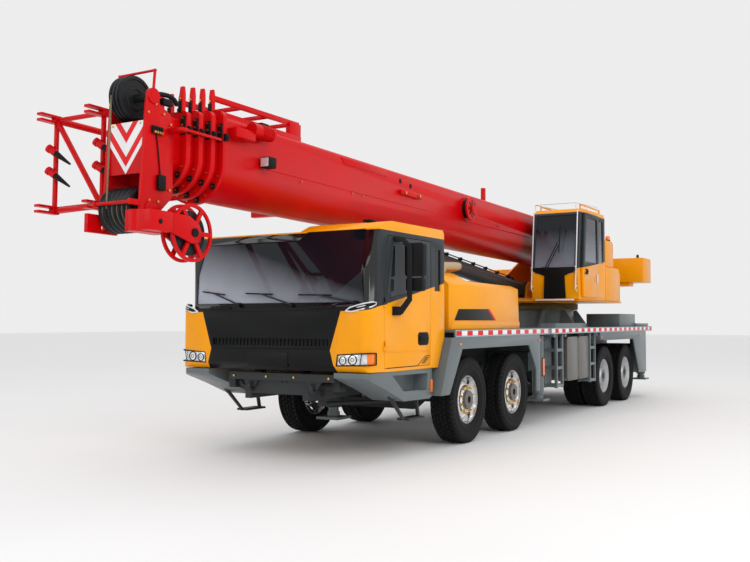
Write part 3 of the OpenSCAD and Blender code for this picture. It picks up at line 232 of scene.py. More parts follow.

# %% [markdown]
# ## Glass
# The glass is dark and tinted, with the seats only faintly behind. Its colour is a ramp that
# darkens towards the top, with a little noise in it: the pale lower part is a painted reflection
# of the bright floor and world. On the windscreen the ramp also leans across, so the far lower
# corner is palest, where the painted reflection is brightest.


# %% Tinted glass
def glass_with_painted_reflection(name, pale, dark, band, clear, lean=0.0):
    material, tree, shader, coords = begin(name)
    haze = wire(tree, "TexNoise", Vector=coords, Scale=2.2, Detail=3.0)
    split = wire(tree, "SeparateXYZ", Vector=coords)
    height = split.outputs["Z"]
    for source, share in ((split.outputs["Y"], lean), (haze.outputs["Fac"], 0.12)):
        height = calc(tree, "MULTIPLY_ADD", source, share, height)
    place = wire(tree, "MapRange", Value=height, From_Min=band[0], From_Max=band[1])
    # Painted reflection: the base colour runs from the pale colour low down to the dark one at the top
    feed(tree, shader, Base_Color=ramp(tree, place.outputs["Result"], [(0.0, pale), (1.0, dark)]),
         Roughness=0.02, Transmission_Weight=clear, IOR=1.5, Specular_IOR_Level=0.2, Coat_Weight=0.05,
         Coat_Roughness=0.02)
    return material


# The pale colours below are painted reflections in the glass; SHADE is the dark top of each ramp
SHADE = (0.006, 0.009, 0.014)
tinted = glass_with_painted_reflection("tinted_glass_painted_reflection", (0.50, 0.55, 0.64), SHADE, (1.52, 2.22), 0.2, lean=0.3)
side_glass = glass_with_painted_reflection("tinted_side_glass_painted_reflection", (0.045, 0.052, 0.064), SHADE, (1.6, 2.3), 0.12)
tinted_upper = glass_with_painted_reflection("tinted_upper_glass_painted_reflection", (0.29, 0.33, 0.40), SHADE, (2.36, 3.05), 0.3)
print("glass ready")

# %% [markdown]
# ## Stripes
# Warning chevrons and the marker tape are paint patterns, so they live in materials. A stripe
# is a to-and-fro wave of position: along X for the tape, and height less the distance from the
# middle for the chevrons, which makes each stripe a V.


# %% Marker tape and chevrons
def stripes(name, along, slope, start, pitch, share, first, second, rough):
    material, tree, shader, coords = begin(name)
    split = wire(tree, "SeparateXYZ", Vector=coords)
    side = calc(tree, "ABSOLUTE", split.outputs["Y"])
    shift = calc(tree, "SUBTRACT", split.outputs[along], start)
    wave = calc(tree, "PINGPONG", calc(tree, "MULTIPLY_ADD", side, slope, shift), pitch / 2)
    part = wire(tree, "MapRange", Value=wave, From_Min=0.0, From_Max=pitch / 2)
    grime = wire(tree, "TexNoise", Vector=coords, Scale=30.0, Detail=3.0)
    sheen = wire(tree, "MapRange", Value=grime.outputs["Fac"], To_Min=rough[0], To_Max=rough[1])
    feed(tree, shader, Base_Color=ramp(tree, part.outputs["Result"], [(0.0, first), (share, second)],
                                       hard=True),
         Specular_IOR_Level=0.2, Roughness=sheen.outputs["Result"])
    return material


WHITE, TAPE_RED, CHEVRON_RED = (0.80, 0.81, 0.82), (0.70, 0.012, 0.016), (0.72, 0.006, 0.012)
SHEET_FOOT, SHEET_TOP = -0.357, 0.107  # the chevron sheet's height on the boom head
marker_tape = stripes("marker_tape", "X", 0.0, 0.0, 0.31, 0.5, WHITE, TAPE_RED, (0.25, 0.45))
chevron_foot = (BOOM @ Vector((head_u + 0.21, 0, SHEET_FOOT))).z
chevron = stripes("chevron_paint", "Z", -1.3, chevron_foot, 0.215, 0.58, WHITE, CHEVRON_RED, (0.25, 0.4))
print("stripes ready")

# %% [markdown]
# ## Shapes from bmesh operators
# A few small helpers cover almost every fitting on a crane: a block, a bar between two points,
# a plate cut to an outline, a turned ring and a bent hose. Blocks and plates soften their own
# edges, because no real plate has a perfectly sharp corner and the highlight there is what
# sells paint.


# %% Block, bar, plate, ring and hose
def fresh(count):
    return [bmesh.new() for _ in range(count)]


def soften(bm, edges, width, segments=2):
    if width and edges:
        bmesh.ops.bevel(bm, geom=edges, offset=width, offset_type="OFFSET", affect="EDGES", segments=segments,
                        profile=0.5, material=-1, clamp_overlap=True)


def edges_of(verts):
    return list({e for v in verts for e in v.link_edges})


def block(bm, low, high, edge=0.004, turn=None, segments=2):
    low, high = Vector(low), Vector(high)
    verts = bmesh.ops.create_cube(bm, size=1)["verts"]
    bmesh.ops.scale(bm, vec=high - low, verts=verts)
    if turn:
        bmesh.ops.rotate(bm, cent=(0, 0, 0), matrix=turn, verts=verts)
    bmesh.ops.translate(bm, vec=(low + high) / 2, verts=verts)
    soften(bm, edges_of(verts), edge, segments)


def side_block(bm, s, x, y, z, edge):
    y0, y1 = sorted((s * y[0], s * y[1]))
    block(bm, (x[0], y0, z[0]), (x[1], y1, z[1]), edge)


def bar(bm, start, end, radius, sides=14, end_radius=None):
    start, end = Vector(start), Vector(end)
    place = Matrix.Translation((start + end) / 2) @ (end - start).to_track_quat("Z", "Y").to_matrix().to_4x4()
    bmesh.ops.create_cone(bm, cap_ends=True, cap_tris=False, segments=sides, radius1=radius,
                          radius2=radius if end_radius is None else end_radius, depth=(end - start).length,
                          matrix=place)


AXES = {"X": lambda a, b, t: (t, a, b), "Y": lambda a, b, t: (a, t, b)}


def plate(bm, outline, low, high, across="Y", edge=0.003):
    spot = AXES[across]
    face = bm.faces.new([bm.verts.new(spot(a, b, low)) for a, b in outline])
    made = bmesh.ops.extrude_face_region(bm, geom=[face])["geom"]
    top = [v for v in made if isinstance(v, bmesh.types.BMVert)]
    bmesh.ops.translate(bm, vec=spot(0, 0, high - low), verts=top)
    solid = list({f for v in top for f in v.link_faces} | {face})
    bmesh.ops.recalc_face_normals(bm, faces=solid)
    soften(bm, list({e for f in solid for e in f.edges}), edge, 2)


def ring(bm, outline, centre, axis=(0, 1, 0), steps=48):
    axis, centre = Vector(axis).normalized(), Vector(centre)
    arm = axis.orthogonal().normalized()
    verts = [bm.verts.new(centre + arm * r + axis * a) for r, a in outline]
    edges = [bm.edges.new(pair) for pair in zip(verts, verts[1:] + verts[:1])]
    bmesh.ops.spin(bm, geom=verts + edges, cent=centre, axis=axis, angle=2 * math.pi, steps=steps,
                   use_merge=True, use_duplicate=False)


def band(bm, radii, span, centre, axis=(0, 1, 0), steps=48):
    (r0, r1), (a0, a1) = radii, span
    ring(bm, [(r0, a0), (r1, a0), (r1, a1), (r0, a1)], centre, axis, steps)


def hose(bm, points, radius, smooth=True, around=3):
    curve = bpy.data.curves.new("hose", "CURVE")
    curve.dimensions = "3D"
    curve.bevel_depth = radius
    curve.bevel_resolution = around
    curve.use_fill_caps = True
    curve.resolution_u = 8
    spline = curve.splines.new("BEZIER")
    spline.bezier_points.add(len(points) - 1)
    for spot, point in zip(spline.bezier_points, points):
        spot.co = point
        spot.handle_left_type = spot.handle_right_type = "AUTO" if smooth else "VECTOR"
    holder = bpy.data.objects.new("hose", curve)
    bpy.context.scene.collection.objects.link(holder)
    bpy.context.view_layer.update()
    mesh = bpy.data.meshes.new_from_object(holder.evaluated_get(bpy.context.evaluated_depsgraph_get()))
    bm.from_mesh(mesh)
    bpy.data.objects.remove(holder)
    bpy.data.meshes.remove(mesh)


def pour(source, target):
    scratch = bpy.data.meshes.new("scratch")
    source.to_mesh(scratch)
    source.free()
    target.from_mesh(scratch)
    bpy.data.meshes.remove(scratch)


print("shape helpers ready")


# %% From bmesh to a riding piece
def done(name, bm, body, finishes, place=None, instead=(), slot=None, sharp=32, mend=True):
    if mend:
        bmesh.ops.remove_doubles(bm, verts=bm.verts, dist=1e-6)
        bmesh.ops.recalc_face_normals(bm, faces=bm.faces)
    if place:
        bm.transform(place)
    mesh = bpy.data.meshes.new(name)
    bm.to_mesh(mesh)
    bm.free()
    for one in finishes:
        mesh.materials.append(one)
    mesh.polygons.foreach_set("use_smooth", [True] * len(mesh.polygons))
    mesh.set_sharp_from_angle(angle=math.radians(sharp))
    piece = bpy.data.objects.new(name, mesh)
    bpy.context.scene.collection.objects.link(piece)
    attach(piece, body)
    if instead:
        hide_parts(*instead)
    print(f"{name}: {len(mesh.polygons)} faces on {body}")
    return piece


def on_truck(name, bm, body, paint, slot):
    return done(name, bm, body, [paint], place=TRUCK, slot=slot)


def on_boom(name, bm, body, paint, slot):
    return done(name, bm, body, [paint], place=BOOM, slot=slot)


print("piece helpers ready")

# %% [markdown]
# ## CAD solids with eased edges
# A CAD node arrives as loose triangles. A copy is merged, its flat triangles are dissolved back
# into whole faces, and then only true corners are bevelled. The copy replaces the node on
# screen, while the node itself stays behind for collision.


# %% Ease the edges of a CAD node
def eased(node, edge=0.005, sharp=28):
    bm = bmesh.new()
    bm.from_mesh(frame["nodes"][node].data)
    bmesh.ops.remove_doubles(bm, verts=bm.verts, dist=2e-5)
    bmesh.ops.dissolve_limit(bm, angle_limit=math.radians(1), verts=bm.verts, edges=bm.edges)
    corners = [e for e in bm.edges if len(e.link_faces) == 2 and e.calc_face_angle(0) > math.radians(sharp)
               and e.calc_length() > 3 * edge]
    soften(bm, corners, edge)
    return bm


def swap(node, bm, finishes):
    return done(node + "_dressed", bm, body_of[node], finishes, instead=[node], slot=slot_of[node],
                mend=False)


def cut(bm, point, normal):
    whole = bm.verts[:] + bm.edges[:] + bm.faces[:]
    bmesh.ops.bisect_plane(bm, geom=whole, plane_co=point, plane_no=normal, dist=1e-6)


def tint(bm, index, test):
    for face in bm.faces:
        if test(face.calc_center_median(), face.normal):
            face.material_index = index


plain = {"deck": slate, "side_skirts": slate, "engine": dark_slate, "axles": dark_slate, "turntable": orange,
         "upper_covers": orange, "counterweight": orange, "luff_barrel": barrel_grey,
         "winch_main": soft_black,
         "winch_aux": soft_black, "cab_interior": seat_cloth, "operator_seat": seat_cloth,
         "engine_cover": yellow, "cab_front_panel": panel_black}
ROUNDER = ("engine_cover", "counterweight", "upper_covers")
for node, paint in plain.items():
    swap(node, eased(node, 0.008 if node in ROUNDER else 0.004), [paint])
for side, _ in SIDES:
    for spot in ("front", "rear"):
        swap(f"beam_{spot}_{side}", eased(f"beam_{spot}_{side}", 0.004), [slate])
    for axle in (1, 2):
        swap(f"knuckle_{axle}_{side}", eased(f"knuckle_{axle}_{side}", 0.003), [dark_slate])

# %% Frame and steps in two finishes
rails = eased("chassis_frame", 0.004)
tint(rails, 1, lambda m, n: m.z > 1.2 or abs(m.y) > 0.95)
swap("chassis_frame", rails, [dark_slate, slate])
treads = eased("steps", 0.004)
tint(treads, 1, lambda m, n: m.z < 0.61 and m.x > 0.8 + AXLE_1)
swap("steps", treads, [slate, dark_slate])

# %% [markdown]
# ## Nodes that need only a finish
# Round rods, sheaves and glass have no corners worth easing, so they keep their CAD mesh and
# only get a material.

# %% Finishes on untouched nodes
bare = {"cab_glass": tinted, "door_left_glass": side_glass, "door_right_glass": side_glass,
        "operator_glass": tinted_upper, "operator_door_glass": tinted_upper, "luff_rod": rod_chrome,
        "leg_nose": slate, "top_sheaves": nylon, "lower_sheaves": nylon, "jib": red}
bare.update({f"leg_{a}_{b}": slate for a in ("front", "rear") for b in ("left", "right")})
for node, paint in bare.items():
    mesh = frame["nodes"][node].data
    mesh.materials.clear()
    mesh.materials.append(paint)
print(len(bare), "nodes painted")

# %% [markdown]
# ## Wheels
# A road tyre shows five ribs of tread blocks, a square shoulder and fine rings on its wall. One
# tyre is spun from its section, and cross grooves are pressed into every fourth step, shifted
# from rib to rib. That one tyre is then copied to each wheel. The rims are the CAD ones with
# their tyres left out, eased and given polished, silver and zinc finishes; the walls of the front
# rims' hand holes are painted black, a painted shade in the recesses.


# %% One tyre
def tyre_mesh(radius=0.53, width=0.30, bead=0.295, steps=208):
    wall = [(bead, -0.40), (bead + 0.012, -0.43), (bead + 0.04, -0.465), (bead + 0.075, -0.487),
            (bead + 0.078, -0.495), (bead + 0.086, -0.495), (bead + 0.089, -0.49), (bead + 0.12, -0.5),
            (bead + 0.155, -0.496), (bead + 0.158, -0.5), (bead + 0.166, -0.5), (bead + 0.169, -0.493),
            (radius - 0.040, -0.478), (radius - 0.022, -0.46), (radius - 0.008, -0.435)]
    wall = [(r, share * width) for r, share in wall]
    edge, depth, pressing = 0.42 * width, 0.013, 0.010

    def crown(a):
        return radius - 0.007 * (a / (0.43 * width)) ** 2

    tread, ribs = [(crown(-edge), -edge)], []
    for g in (-0.25, -0.085, 0.085, 0.25):
        ribs.append(len(wall) + len(tread) - 1)
        for a, down in ((g - 0.022, 0), (g - 0.014, depth), (g + 0.014, depth), (g + 0.022, 0)):
            tread.append((crown(a * width) - down, a * width))
    ribs.append(len(wall) + len(tread) - 1)
    tread.append((crown(edge), edge))
    outline = wall + tread + [(r, -a) for r, a in reversed(wall)]
    bm = bmesh.new()
    ring(bm, outline, (0, 0, 0), steps=steps)
    bmesh.ops.remove_doubles(bm, verts=bm.verts, dist=1e-6)
    bmesh.ops.recalc_face_normals(bm, faces=bm.faces)
    spans = [(outline[i][1], outline[i + 1][1]) for i in ribs]
    pressed = []
    for face in bm.faces:
        middle = face.calc_center_median()
        out = math.hypot(middle.x, middle.z)
        step = int((math.atan2(middle.z, middle.x) / (2 * math.pi) % 1.0) * steps)
        for k, (a, b) in enumerate(spans):
            if a < middle.y < b and out > radius - 0.02 and (step + 2 * k) % 4 == 0:
                pressed.append(face)
        if abs(middle.y) > edge and out > radius - 0.034 and step % 4 == (0 if middle.y < 0 else 2):
            pressed.append(face)
    for made in bmesh.ops.extrude_discrete_faces(bm, faces=pressed)["faces"]:
        for vert in made.verts:
            vert.co -= Vector((vert.co.x, 0, vert.co.z)).normalized() * pressing
    mesh = bpy.data.meshes.new("tyre_pattern")
    bm.to_mesh(mesh)
    bm.free()
    return mesh


pattern = tyre_mesh()
print("tyre", len(pattern.polygons), "faces")


# %% Eight wheels
def islands(bm):
    left = set(bm.verts)
    while left:
        group, front = set(), [left.pop()]
        while front:
            vert = front.pop()
            group.add(vert)
            for other in (e.other_vert(vert) for e in vert.link_edges):
                if other in left:
                    left.remove(other)
                    front.append(other)
        yield group


HUB_R, HOLE_R, HOLE_AT, NUT_AT, PITCH_DEG = 0.118, 0.027, 0.235, 0.165, 36
NUT_FOOT, NUT_TOP, STUD_TOP = 0.078, 0.112, 0.016


def wheel(axle, side, outward):
    name = f"wheel_{axle}_{side}"
    hub = Vector(joints[f"wheel_turn_{axle}_{side}"]["pos_m"])
    bm = eased(name, 0.003)
    tyres = []
    for group in list(islands(bm)):
        if max(math.hypot(v.co.x - hub.x, v.co.z - hub.z) for v in group) > 0.5:
            tyres.append(sum(v.co.y for v in group) / len(group))
            bmesh.ops.delete(bm, geom=list(group), context="VERTS")
        elif max(v.co.x for v in group) - min(v.co.x for v in group) < 0.05:
            for face in {f for v in group for f in v.link_faces}:
                face.material_index = 2
    for face in bm.faces:
        middle = face.calc_center_median() - hub
        if face.material_index == 0:
            out, turn = math.hypot(middle.x, middle.z), math.degrees(math.atan2(middle.z, middle.x))
            off = out * math.radians(abs((turn + PITCH_DEG / 2) % PITCH_DEG - PITCH_DEG / 2))
            # Hand-hole walls on the front rims get the black finish: painted shade in the recesses
            hole_wall_painted_shade = axle < 3 and abs(face.normal.y) < 0.5 and math.hypot(out - HOLE_AT, off) < HOLE_R
            face.material_index = 3 if hole_wall_painted_shade else 4 if out < HUB_R else 1
    for y in tyres:
        copy = bmesh.new()
        copy.from_mesh(pattern)
        copy.transform(Matrix.Translation((hub.x, y, hub.z)))
        pour(copy, bm)
    if axle < 3:
        nuts = bmesh.new()
        for i in range(360 // PITCH_DEG):
            a = math.radians(PITCH_DEG / 2 + PITCH_DEG * i)
            spot = hub + Vector((NUT_AT * math.cos(a), 0, NUT_AT * math.sin(a)))
            foot, top, end = (spot + Vector((0, outward * y, 0)) for y in (NUT_FOOT, NUT_TOP,
                                                                           NUT_TOP + STUD_TOP))
            bar(nuts, foot, top, 0.017, 6)
            bar(nuts, top, end, 0.008, 10)
        done(name + "_nuts", nuts, body_of[name], [zinc_gold], slot="steel")
    swap(name, bm, [rubber, chrome if axle < 3 else silver, zinc_gold, soft_black, tank_metal])


for axle in (1, 2, 3, 4):
    for side, s in SIDES:
        wheel(axle, side, s)

# %% [markdown]
# ## Driver's cab
# The body is yellow below the sill and round the roof, and dark between: the pillars and window
# frames are one moulded band that rises towards the back. Two cutting planes split the shell
# and the doors on the same lines, so the colours meet across the door gaps.

# %% Colour bands on shell and doors
SILL = (Vector((2.264 + AXLE_1, 0, 1.625)), Vector((0.659 + AXLE_1, 0, 1.934)))
sill_up = (SILL[1] - SILL[0]).cross(Vector((0, 1, 0))).normalized()
sill_up = sill_up if sill_up.z > 0 else -sill_up
BAND_TOP, COWL_FOOT = 2.455, 1.60


def in_band(middle, normal):
    return (middle - SILL[0]).dot(sill_up) > 0 and middle.z < BAND_TOP


def banded(node, edge):
    bm = eased(node, edge)
    cut(bm, SILL[0], sill_up)
    cut(bm, (0, 0, BAND_TOP), (0, 0, 1))
    tint(bm, 1, in_band)
    return bm


shell = banded("cab_shell", 0.006)
cut(shell, (0, 0, COWL_FOOT), (0, 0, 1))
tint(shell, 2, lambda m, n: m.x > 2.13 + AXLE_1 and COWL_FOOT < m.z < 1.72 and abs(m.y) < 1.12)
tint(shell, 3, lambda m, n: m.x > 1.99 + AXLE_1 and 1.69 < m.z < 2.43 and n.x > 0.3)
swap("cab_shell", shell, [yellow, trim_grey, panel_black, screen_black])
for side, s in SIDES:
    door = banded(f"door_{side}", 0.005)
    tint(door, 2, lambda m, n: s * m.y > 1.256 and m.x < 1.95 + AXLE_1)
    swap(f"door_{side}", door, [yellow, trim_grey, soft_black])

# %% [markdown]
# ## Boom
# A telescopic boom is a nest of welded tubes. Each tube ends in a collar with slide pads, bolts
# and a hose horn, so every collar's fittings ride on their own section and travel with it. The
# warning chevrons are a thin painted sheet in front of the head's cross plate.

# %% Boom tubes and head
TOP_W, LOW_W, TIP_W = 0.339, -0.674, -0.875  # heights of the three sheave shafts
SHEAVE_U, TIP_U = head_u + SHEAVE_AHEAD, head_u - 0.13
SHEET_Y, SHEET_SHOULDER = 0.203, -0.093
for node in ("boom_base", "boom_section_2", "boom_section_3", "boom_section_4"):
    swap(node, eased(node, 0.004), [red])
head = eased("boom_head", 0.004)


def in_tip_sheave(middle, normal):
    spot = to_boom @ middle
    return 0.39 < spot.y < 0.47 and math.hypot(spot.x - TIP_U, spot.z - TIP_W) < 0.206


def on_shaft(middle, normal):
    spot = to_boom @ middle
    return abs(spot.y) < 0.195 and math.hypot(spot.x - SHEAVE_U, spot.z - TOP_W) < 0.075


tint(head, 1, in_tip_sheave)
tint(head, 1, on_shaft)
swap("boom_head", head, [red, nylon])
sheet, arm, cap, rope, wound = fresh(5)
plate(sheet, [(-SHEET_Y, SHEET_TOP), (-SHEET_Y, SHEET_SHOULDER), (0, SHEET_FOOT), (SHEET_Y, SHEET_SHOULDER),
              (SHEET_Y, SHEET_TOP)], head_u + 0.2104, head_u + 0.2126, "X", 0.0)
block(arm, (head_u + 0.14, 0.385, -0.900), (head_u + 0.424, 0.522, -0.725), 0.004)
plate(arm, [(head_u + u, w) for u, w in ((0.15, -0.725), (0.15, -0.900), (-0.10, -0.975), (-0.20, -0.955),
                                         (-0.23, -0.88), (-0.19, -0.80), (-0.07, -0.735))], 0.5005, 0.522)
bar(cap, (TIP_U, 0.515, TIP_W), (TIP_U, 0.534, TIP_W), 0.04, 24)
bar(cap, (head_u + 0.30, 0.515, -0.82), (head_u + 0.30, 0.527, -0.82), 0.022, 20)
bar(rope, (head_u + 0.322, -0.084, TOP_W), (head_u + 0.322, -0.11, LOW_W), 0.009, 12)
for y in (-0.17, -0.05, 0.01, 0.07, 0.13):
    band(wound, (0.176, 0.186), (y - 0.008, y + 0.008), (SHEAVE_U, 0, LOW_W), steps=40)
on_boom("tip_sheave_arm", arm, "head", red, "red")
on_boom("tip_sheave_cap", cap, "head", panel_black, "trim")
on_boom("warning_chevrons", sheet, "head", chevron, "red")
on_boom("hoist_rope", rope, "head", rope_steel, "steel")
on_boom("sheave_rope", wound, "head_lower_sheaves", rope_steel, "steel")

# %% Collar fittings
first_u = head_u - 0.721
COLLAR_GAP, SIDE_STEP, TOP_STEP, BOW_W = 0.137, 0.03, 0.022, -0.148
for k, body in enumerate(("boom", "section_2", "section_3", "section_4")):
    u, y_out, y_in = first_u + COLLAR_GAP * k, 0.372 - SIDE_STEP * k, 0.302 - SIDE_STEP * k
    rim, down = (y_in + y_out) / 2, TOP_STEP * k
    black, gold = fresh(2)
    for s in (-1, 1):
        block(black, (u + 0.058, s * 0.2 - 0.02, 0.34 - down), (u + 0.068, s * 0.2 + 0.02, 0.45 - down),
              0.004)
        bar(gold, (u + 0.06, s * 0.2, 0.47 - down), (u + 0.074, s * 0.2, 0.47 - down), 0.012, 6)
        block(black, (u + 0.0565, s * rim - 0.03, 0.06), (u + 0.07, s * rim + 0.03, 0.24), 0.006)
        for w in (0.085, 0.15, 0.215):
            bar(gold, (u + 0.068, s * rim, w), (u + 0.084, s * rim, w), 0.011, 6)
    block(black, (u + 0.004, y_out - 0.002, 0.07), (u + 0.052, y_out + 0.03, 0.14), 0.006)
    block(black, (u + 0.014, y_out + 0.028, 0.085), (u + 0.042, y_out + 0.04, 0.125), 0.004)
    for angle in range(-160, -15, 20):
        a = math.radians(angle)
        spot = Vector((u + 0.0565, rim * math.cos(a), BOW_W + rim * math.sin(a)))
        if angle % 40 == 0:
            block(black, spot + Vector((0, -0.03, -0.03)), spot + Vector((0.012, 0.03, 0.03)), 0.006)
        bar(gold, spot, spot + Vector((0.022, 0, 0)), 0.01, 6)
    on_boom(f"collar_pads_{k}", black, body, soft_black, "trim")
    on_boom(f"collar_bolts_{k}", gold, body, zinc_gold, "steel")

# %% Dished faces on the sheaves
upper, lower = fresh(2)
for bm, y, out, w, bands in ((upper, 0.0245, 1, TOP_W, ((0.165, 0.196), (0.075, 0.115))),
                             (upper, -0.106, -1, TOP_W, ((0.165, 0.196), (0.075, 0.115))),
                             (lower, 0.16, 1, LOW_W, ((0.165, 0.196), (0.075, 0.12)))):
    for r0, r1 in bands:
        lip = y + out * 0.008
        ring(bm, [(r0, y), (r0 + 0.006, lip), (r1 - 0.006, lip), (r1, y)], (SHEAVE_U, 0, w), steps=64)
on_boom("top_sheave_rings", upper, "head_top_sheaves", nylon, "sheave")
on_boom("lower_sheave_rings", lower, "head_lower_sheaves", nylon, "sheave")

# %% [markdown]
# ## Along the boom
# The photograph gives places in truck axes, so one function turns them into boom axes. The left
# wall carries a motor, a flood lamp, a doubler plate, a hose drum, a handle and a long seam, and
# a guard frame stands on the top.


# %% Fittings along the boom's left side
def beside(x, z):
    spot = to_boom @ Vector((x + AXLE_1, 0, z))
    return spot.x, spot.z


def fitting(bm, x, z, y, edge=0.006):
    (u0, w0), (u1, w1) = beside(x[0], z[0]), beside(x[1], z[1])
    block(bm, (min(u0, u1), y[0], min(w0, w1)), (max(u0, u1), y[1], max(w0, w1)), edge)


def studs(bm, spots, y0, y1, radius, sides):
    for x, z in spots:
        u, w = beside(x, z)
        bar(bm, (u, y0, w), (u, y1, w), radius, sides)


WALL = 0.329  # the boom's side stands this far from its middle
painted, black, glassy, bright = fresh(4)
fitting(painted, (3.18, 3.47), (3.27, 3.37), (WALL, 0.44))
u, w = beside(2.88, 3.39)
bar(painted, (u, 0.40, w), (u + 0.32, 0.40, w), 0.07, 28)
for i in range(6):
    bar(painted, (u + 0.03 + 0.03 * i, 0.40, w), (u + 0.04 + 0.03 * i, 0.40, w), 0.078, 28)
fitting(black, (2.94, 3.06), (3.46, 3.49), (0.35, 0.42))
fitting(black, (2.86, 2.985), (3.044, 3.157), (0.34, 0.46), 0.012)
fitting(black, (2.90, 2.94), (3.08, 3.12), (WALL, 0.36))
fitting(glassy, (2.984, 2.992), (3.056, 3.145), (0.352, 0.448), 0.003)
plate(painted, [beside(1.46, 3.392), beside(1.39, 3.318), beside(0.394, 3.308), beside(0.394, 3.385)],
      0.325, 0.337)
studs(black, ((-0.223, 3.268), (0.052, 3.30)), 0.325, 0.334, 0.032, 24)
fitting(painted, (-0.48, 0.08), (3.12, 3.19), (WALL, 0.365))
studs(bright, ((-0.40, 3.155), (-0.02, 3.155)), 0.36, 0.385, 0.022, 6)
studs(bright, [(x, 3.0) for x in (2.25, 1.21, 0.98, -3.1)], WALL, 0.340, 0.011, 6)
(u0, w0), (u1, w1) = beside(2.83, 3.049), beside(-4.51, 2.932)
bar(painted, (u0, 0.330, w0), (u1, 0.330, w1), 0.006, 8)
DRUM = (-1.90, 3.14)
u, w = beside(*DRUM)
for flange in ([(0.03, WALL), (0.172, WALL), (0.172, 0.355), (0.16, 0.355), (0.15, 0.345), (0.03, 0.345)],
               [(0.03, 0.43), (0.15, 0.43), (0.16, 0.42), (0.172, 0.42), (0.172, 0.446), (0.03, 0.446)]):
    ring(painted, flange, (u, 0, w), steps=56)
band(black, (0.05, 0.135), (0.345, 0.43), (u, 0, w))
for i in range(8):
    a = i * math.pi / 4
    spot, half = Vector((u + 0.095 * math.cos(a), 0.4465, w + 0.095 * math.sin(a))), Vector((0.032, 0.002,
                                                                                             0.014))
    block(black, spot - half, spot + half, 0.001, turn=Matrix.Rotation(-a, 3, "Y"))
studs(painted, (DRUM,), 0.44, 0.475, 0.055, 24)
studs(painted, (DRUM,), 0.47, 0.482, 0.035, 6)
fitting(painted, (-2.86, -2.80), (3.30, 3.58), (0.18, 0.24))
RAIL_Z, RAIL_HALF = 3.655, 0.026
for post in ((0.17, 0.23), (-0.23, -0.17)):
    fitting(painted, (2.12, 2.32), (3.40, 3.66), post)
(u0, w0), (u1, w1) = beside(2.13, RAIL_Z), beside(3.56, 3.66)
for y in (0.175, -0.215):
    plate(painted, [(u0, w0 - RAIL_HALF), (u1, w1 - RAIL_HALF), (u1, w1 + RAIL_HALF), (u0, w0 + RAIL_HALF)],
          y, y + 0.04)
for x in (2.2, 2.65, 3.1):
    u, w = beside(x, RAIL_Z)
    block(painted, (u - 0.02, -0.18, w - 0.02), (u + 0.02, 0.18, w + 0.02), 0.004)
on_boom("boom_side_fittings", painted, "boom", red, "red")
on_boom("boom_side_black", black, "boom", soft_black, "trim")
on_boom("boom_flood_lens", glassy, "boom", silver_glass, "lamp")
on_boom("boom_side_bolts", bright, "boom", zinc_gold, "steel")

# %% Head fittings
CHEEK = 0.236  # outer face of the head's cheek plate
black, bright, painted = fresh(3)
block(black, (head_u + 0.02, CHEEK, 0.0), (head_u + 0.15, 0.262, 0.07), 0.006)
for i in range(4):
    u = head_u + 0.04 + 0.03 * i
    bar(bright, (u, 0.25, 0.012), (u, 0.276, 0.012), 0.012, 16)
    bar(black, (u, 0.25, 0.05), (u, 0.272, 0.05), 0.010, 12)
hose(black, [(head_u + 0.09, 0.245, 0.0), (head_u + 0.06, 0.243, -0.16), (head_u + 0.03, 0.243, -0.36)],
     0.006)
block(black, (head_u - 0.02, CHEEK, -0.50), (head_u + 0.075, 0.275, -0.36), 0.012)
block(black, (head_u - 0.10, 0.20, 0.285), (head_u + 0.02, 0.26, 0.345), 0.01)
for u, w in ((0.0, 0.20), (0.10, 0.27), (0.05, -0.60), (0.16, -0.60), (0.19, 0.18), (-0.09, -0.48),
             (-0.09, 0.12)):
    bar(bright, (head_u + u, CHEEK, w), (head_u + u, 0.248, w), 0.012, 6)
for y in (-0.17, 0.17):
    bar(bright, (head_u + 0.21, y, 0.085), (head_u + 0.222, y, 0.085), 0.01, 6)
plate(painted, [(head_u - 0.137, 0.05), (head_u - 0.60, 0.05), (head_u - 0.60, 0.075),
                (head_u - 0.137, 0.075)],
      0.40, 0.412)
block(painted, (head_u - 0.137, CHEEK, 0.045), (head_u - 0.05, 0.412, 0.08), 0.004)
for y0, y1, r in ((0.47, 0.506, 0.036), (0.50, 0.512, 0.022)):
    bar(black, (TIP_U, y0, TIP_W), (TIP_U, y1, TIP_W), r, 24)
hose(black, [(head_u + 0.11, 0.215, 0.36), (head_u - 0.02, 0.215, 0.385), (head_u - 0.14, 0.215, 0.375),
             (head_u - 0.20, 0.212, 0.33)], 0.022)
on_boom("head_black_fittings", black, "head", soft_black, "trim")
on_boom("head_bright_fittings", bright, "head", zinc_gold, "steel")
on_boom("head_guide_bar", painted, "head", red, "red")

# %% [markdown]
# ## Jib pins
# The stowed jib carries its joining pins clipped to the base frame's uprights: red caps with
# black tapered points.

# %% Jib pins
caps, points = fresh(2)
tip = Vector((-0.06, 0.21, -0.15))
for y in (-0.60, -1.26):
    for w in (0.02, -0.20):
        root = Vector((head_u - 0.008, y, w))
        bar(caps, root - tip * 0.12, root + tip * 0.26, 0.036, 20)
        bar(caps, root - tip * 0.14, root - tip * 0.02, 0.042, 20)
        bar(points, root + tip * 0.25, root + tip * 1.0, 0.032, 18, 0.010)
on_boom("jib_pin_caps", caps, "boom", red, "steel")
on_boom("jib_pin_points", points, "boom", soft_black, "trim")

# %% [markdown]
# ## Cab front
# Three wipers park on the glass, two vents sit on the cowl, and thin bright lamps wrap the upper
# corners. The windscreen leans back, so a small function tells how far forward the glass is at
# any height, and the wipers follow it.


# %% Wipers, cowl and corner lamps
def on_glass(y, z, out):
    lean = 2.372 - (z - 1.69) * 0.308
    plan = 2.39 if abs(y) < 0.64 else 2.39 - (abs(y) - 0.64) * 0.26
    return Vector((min(lean, plan) + out, y, z))


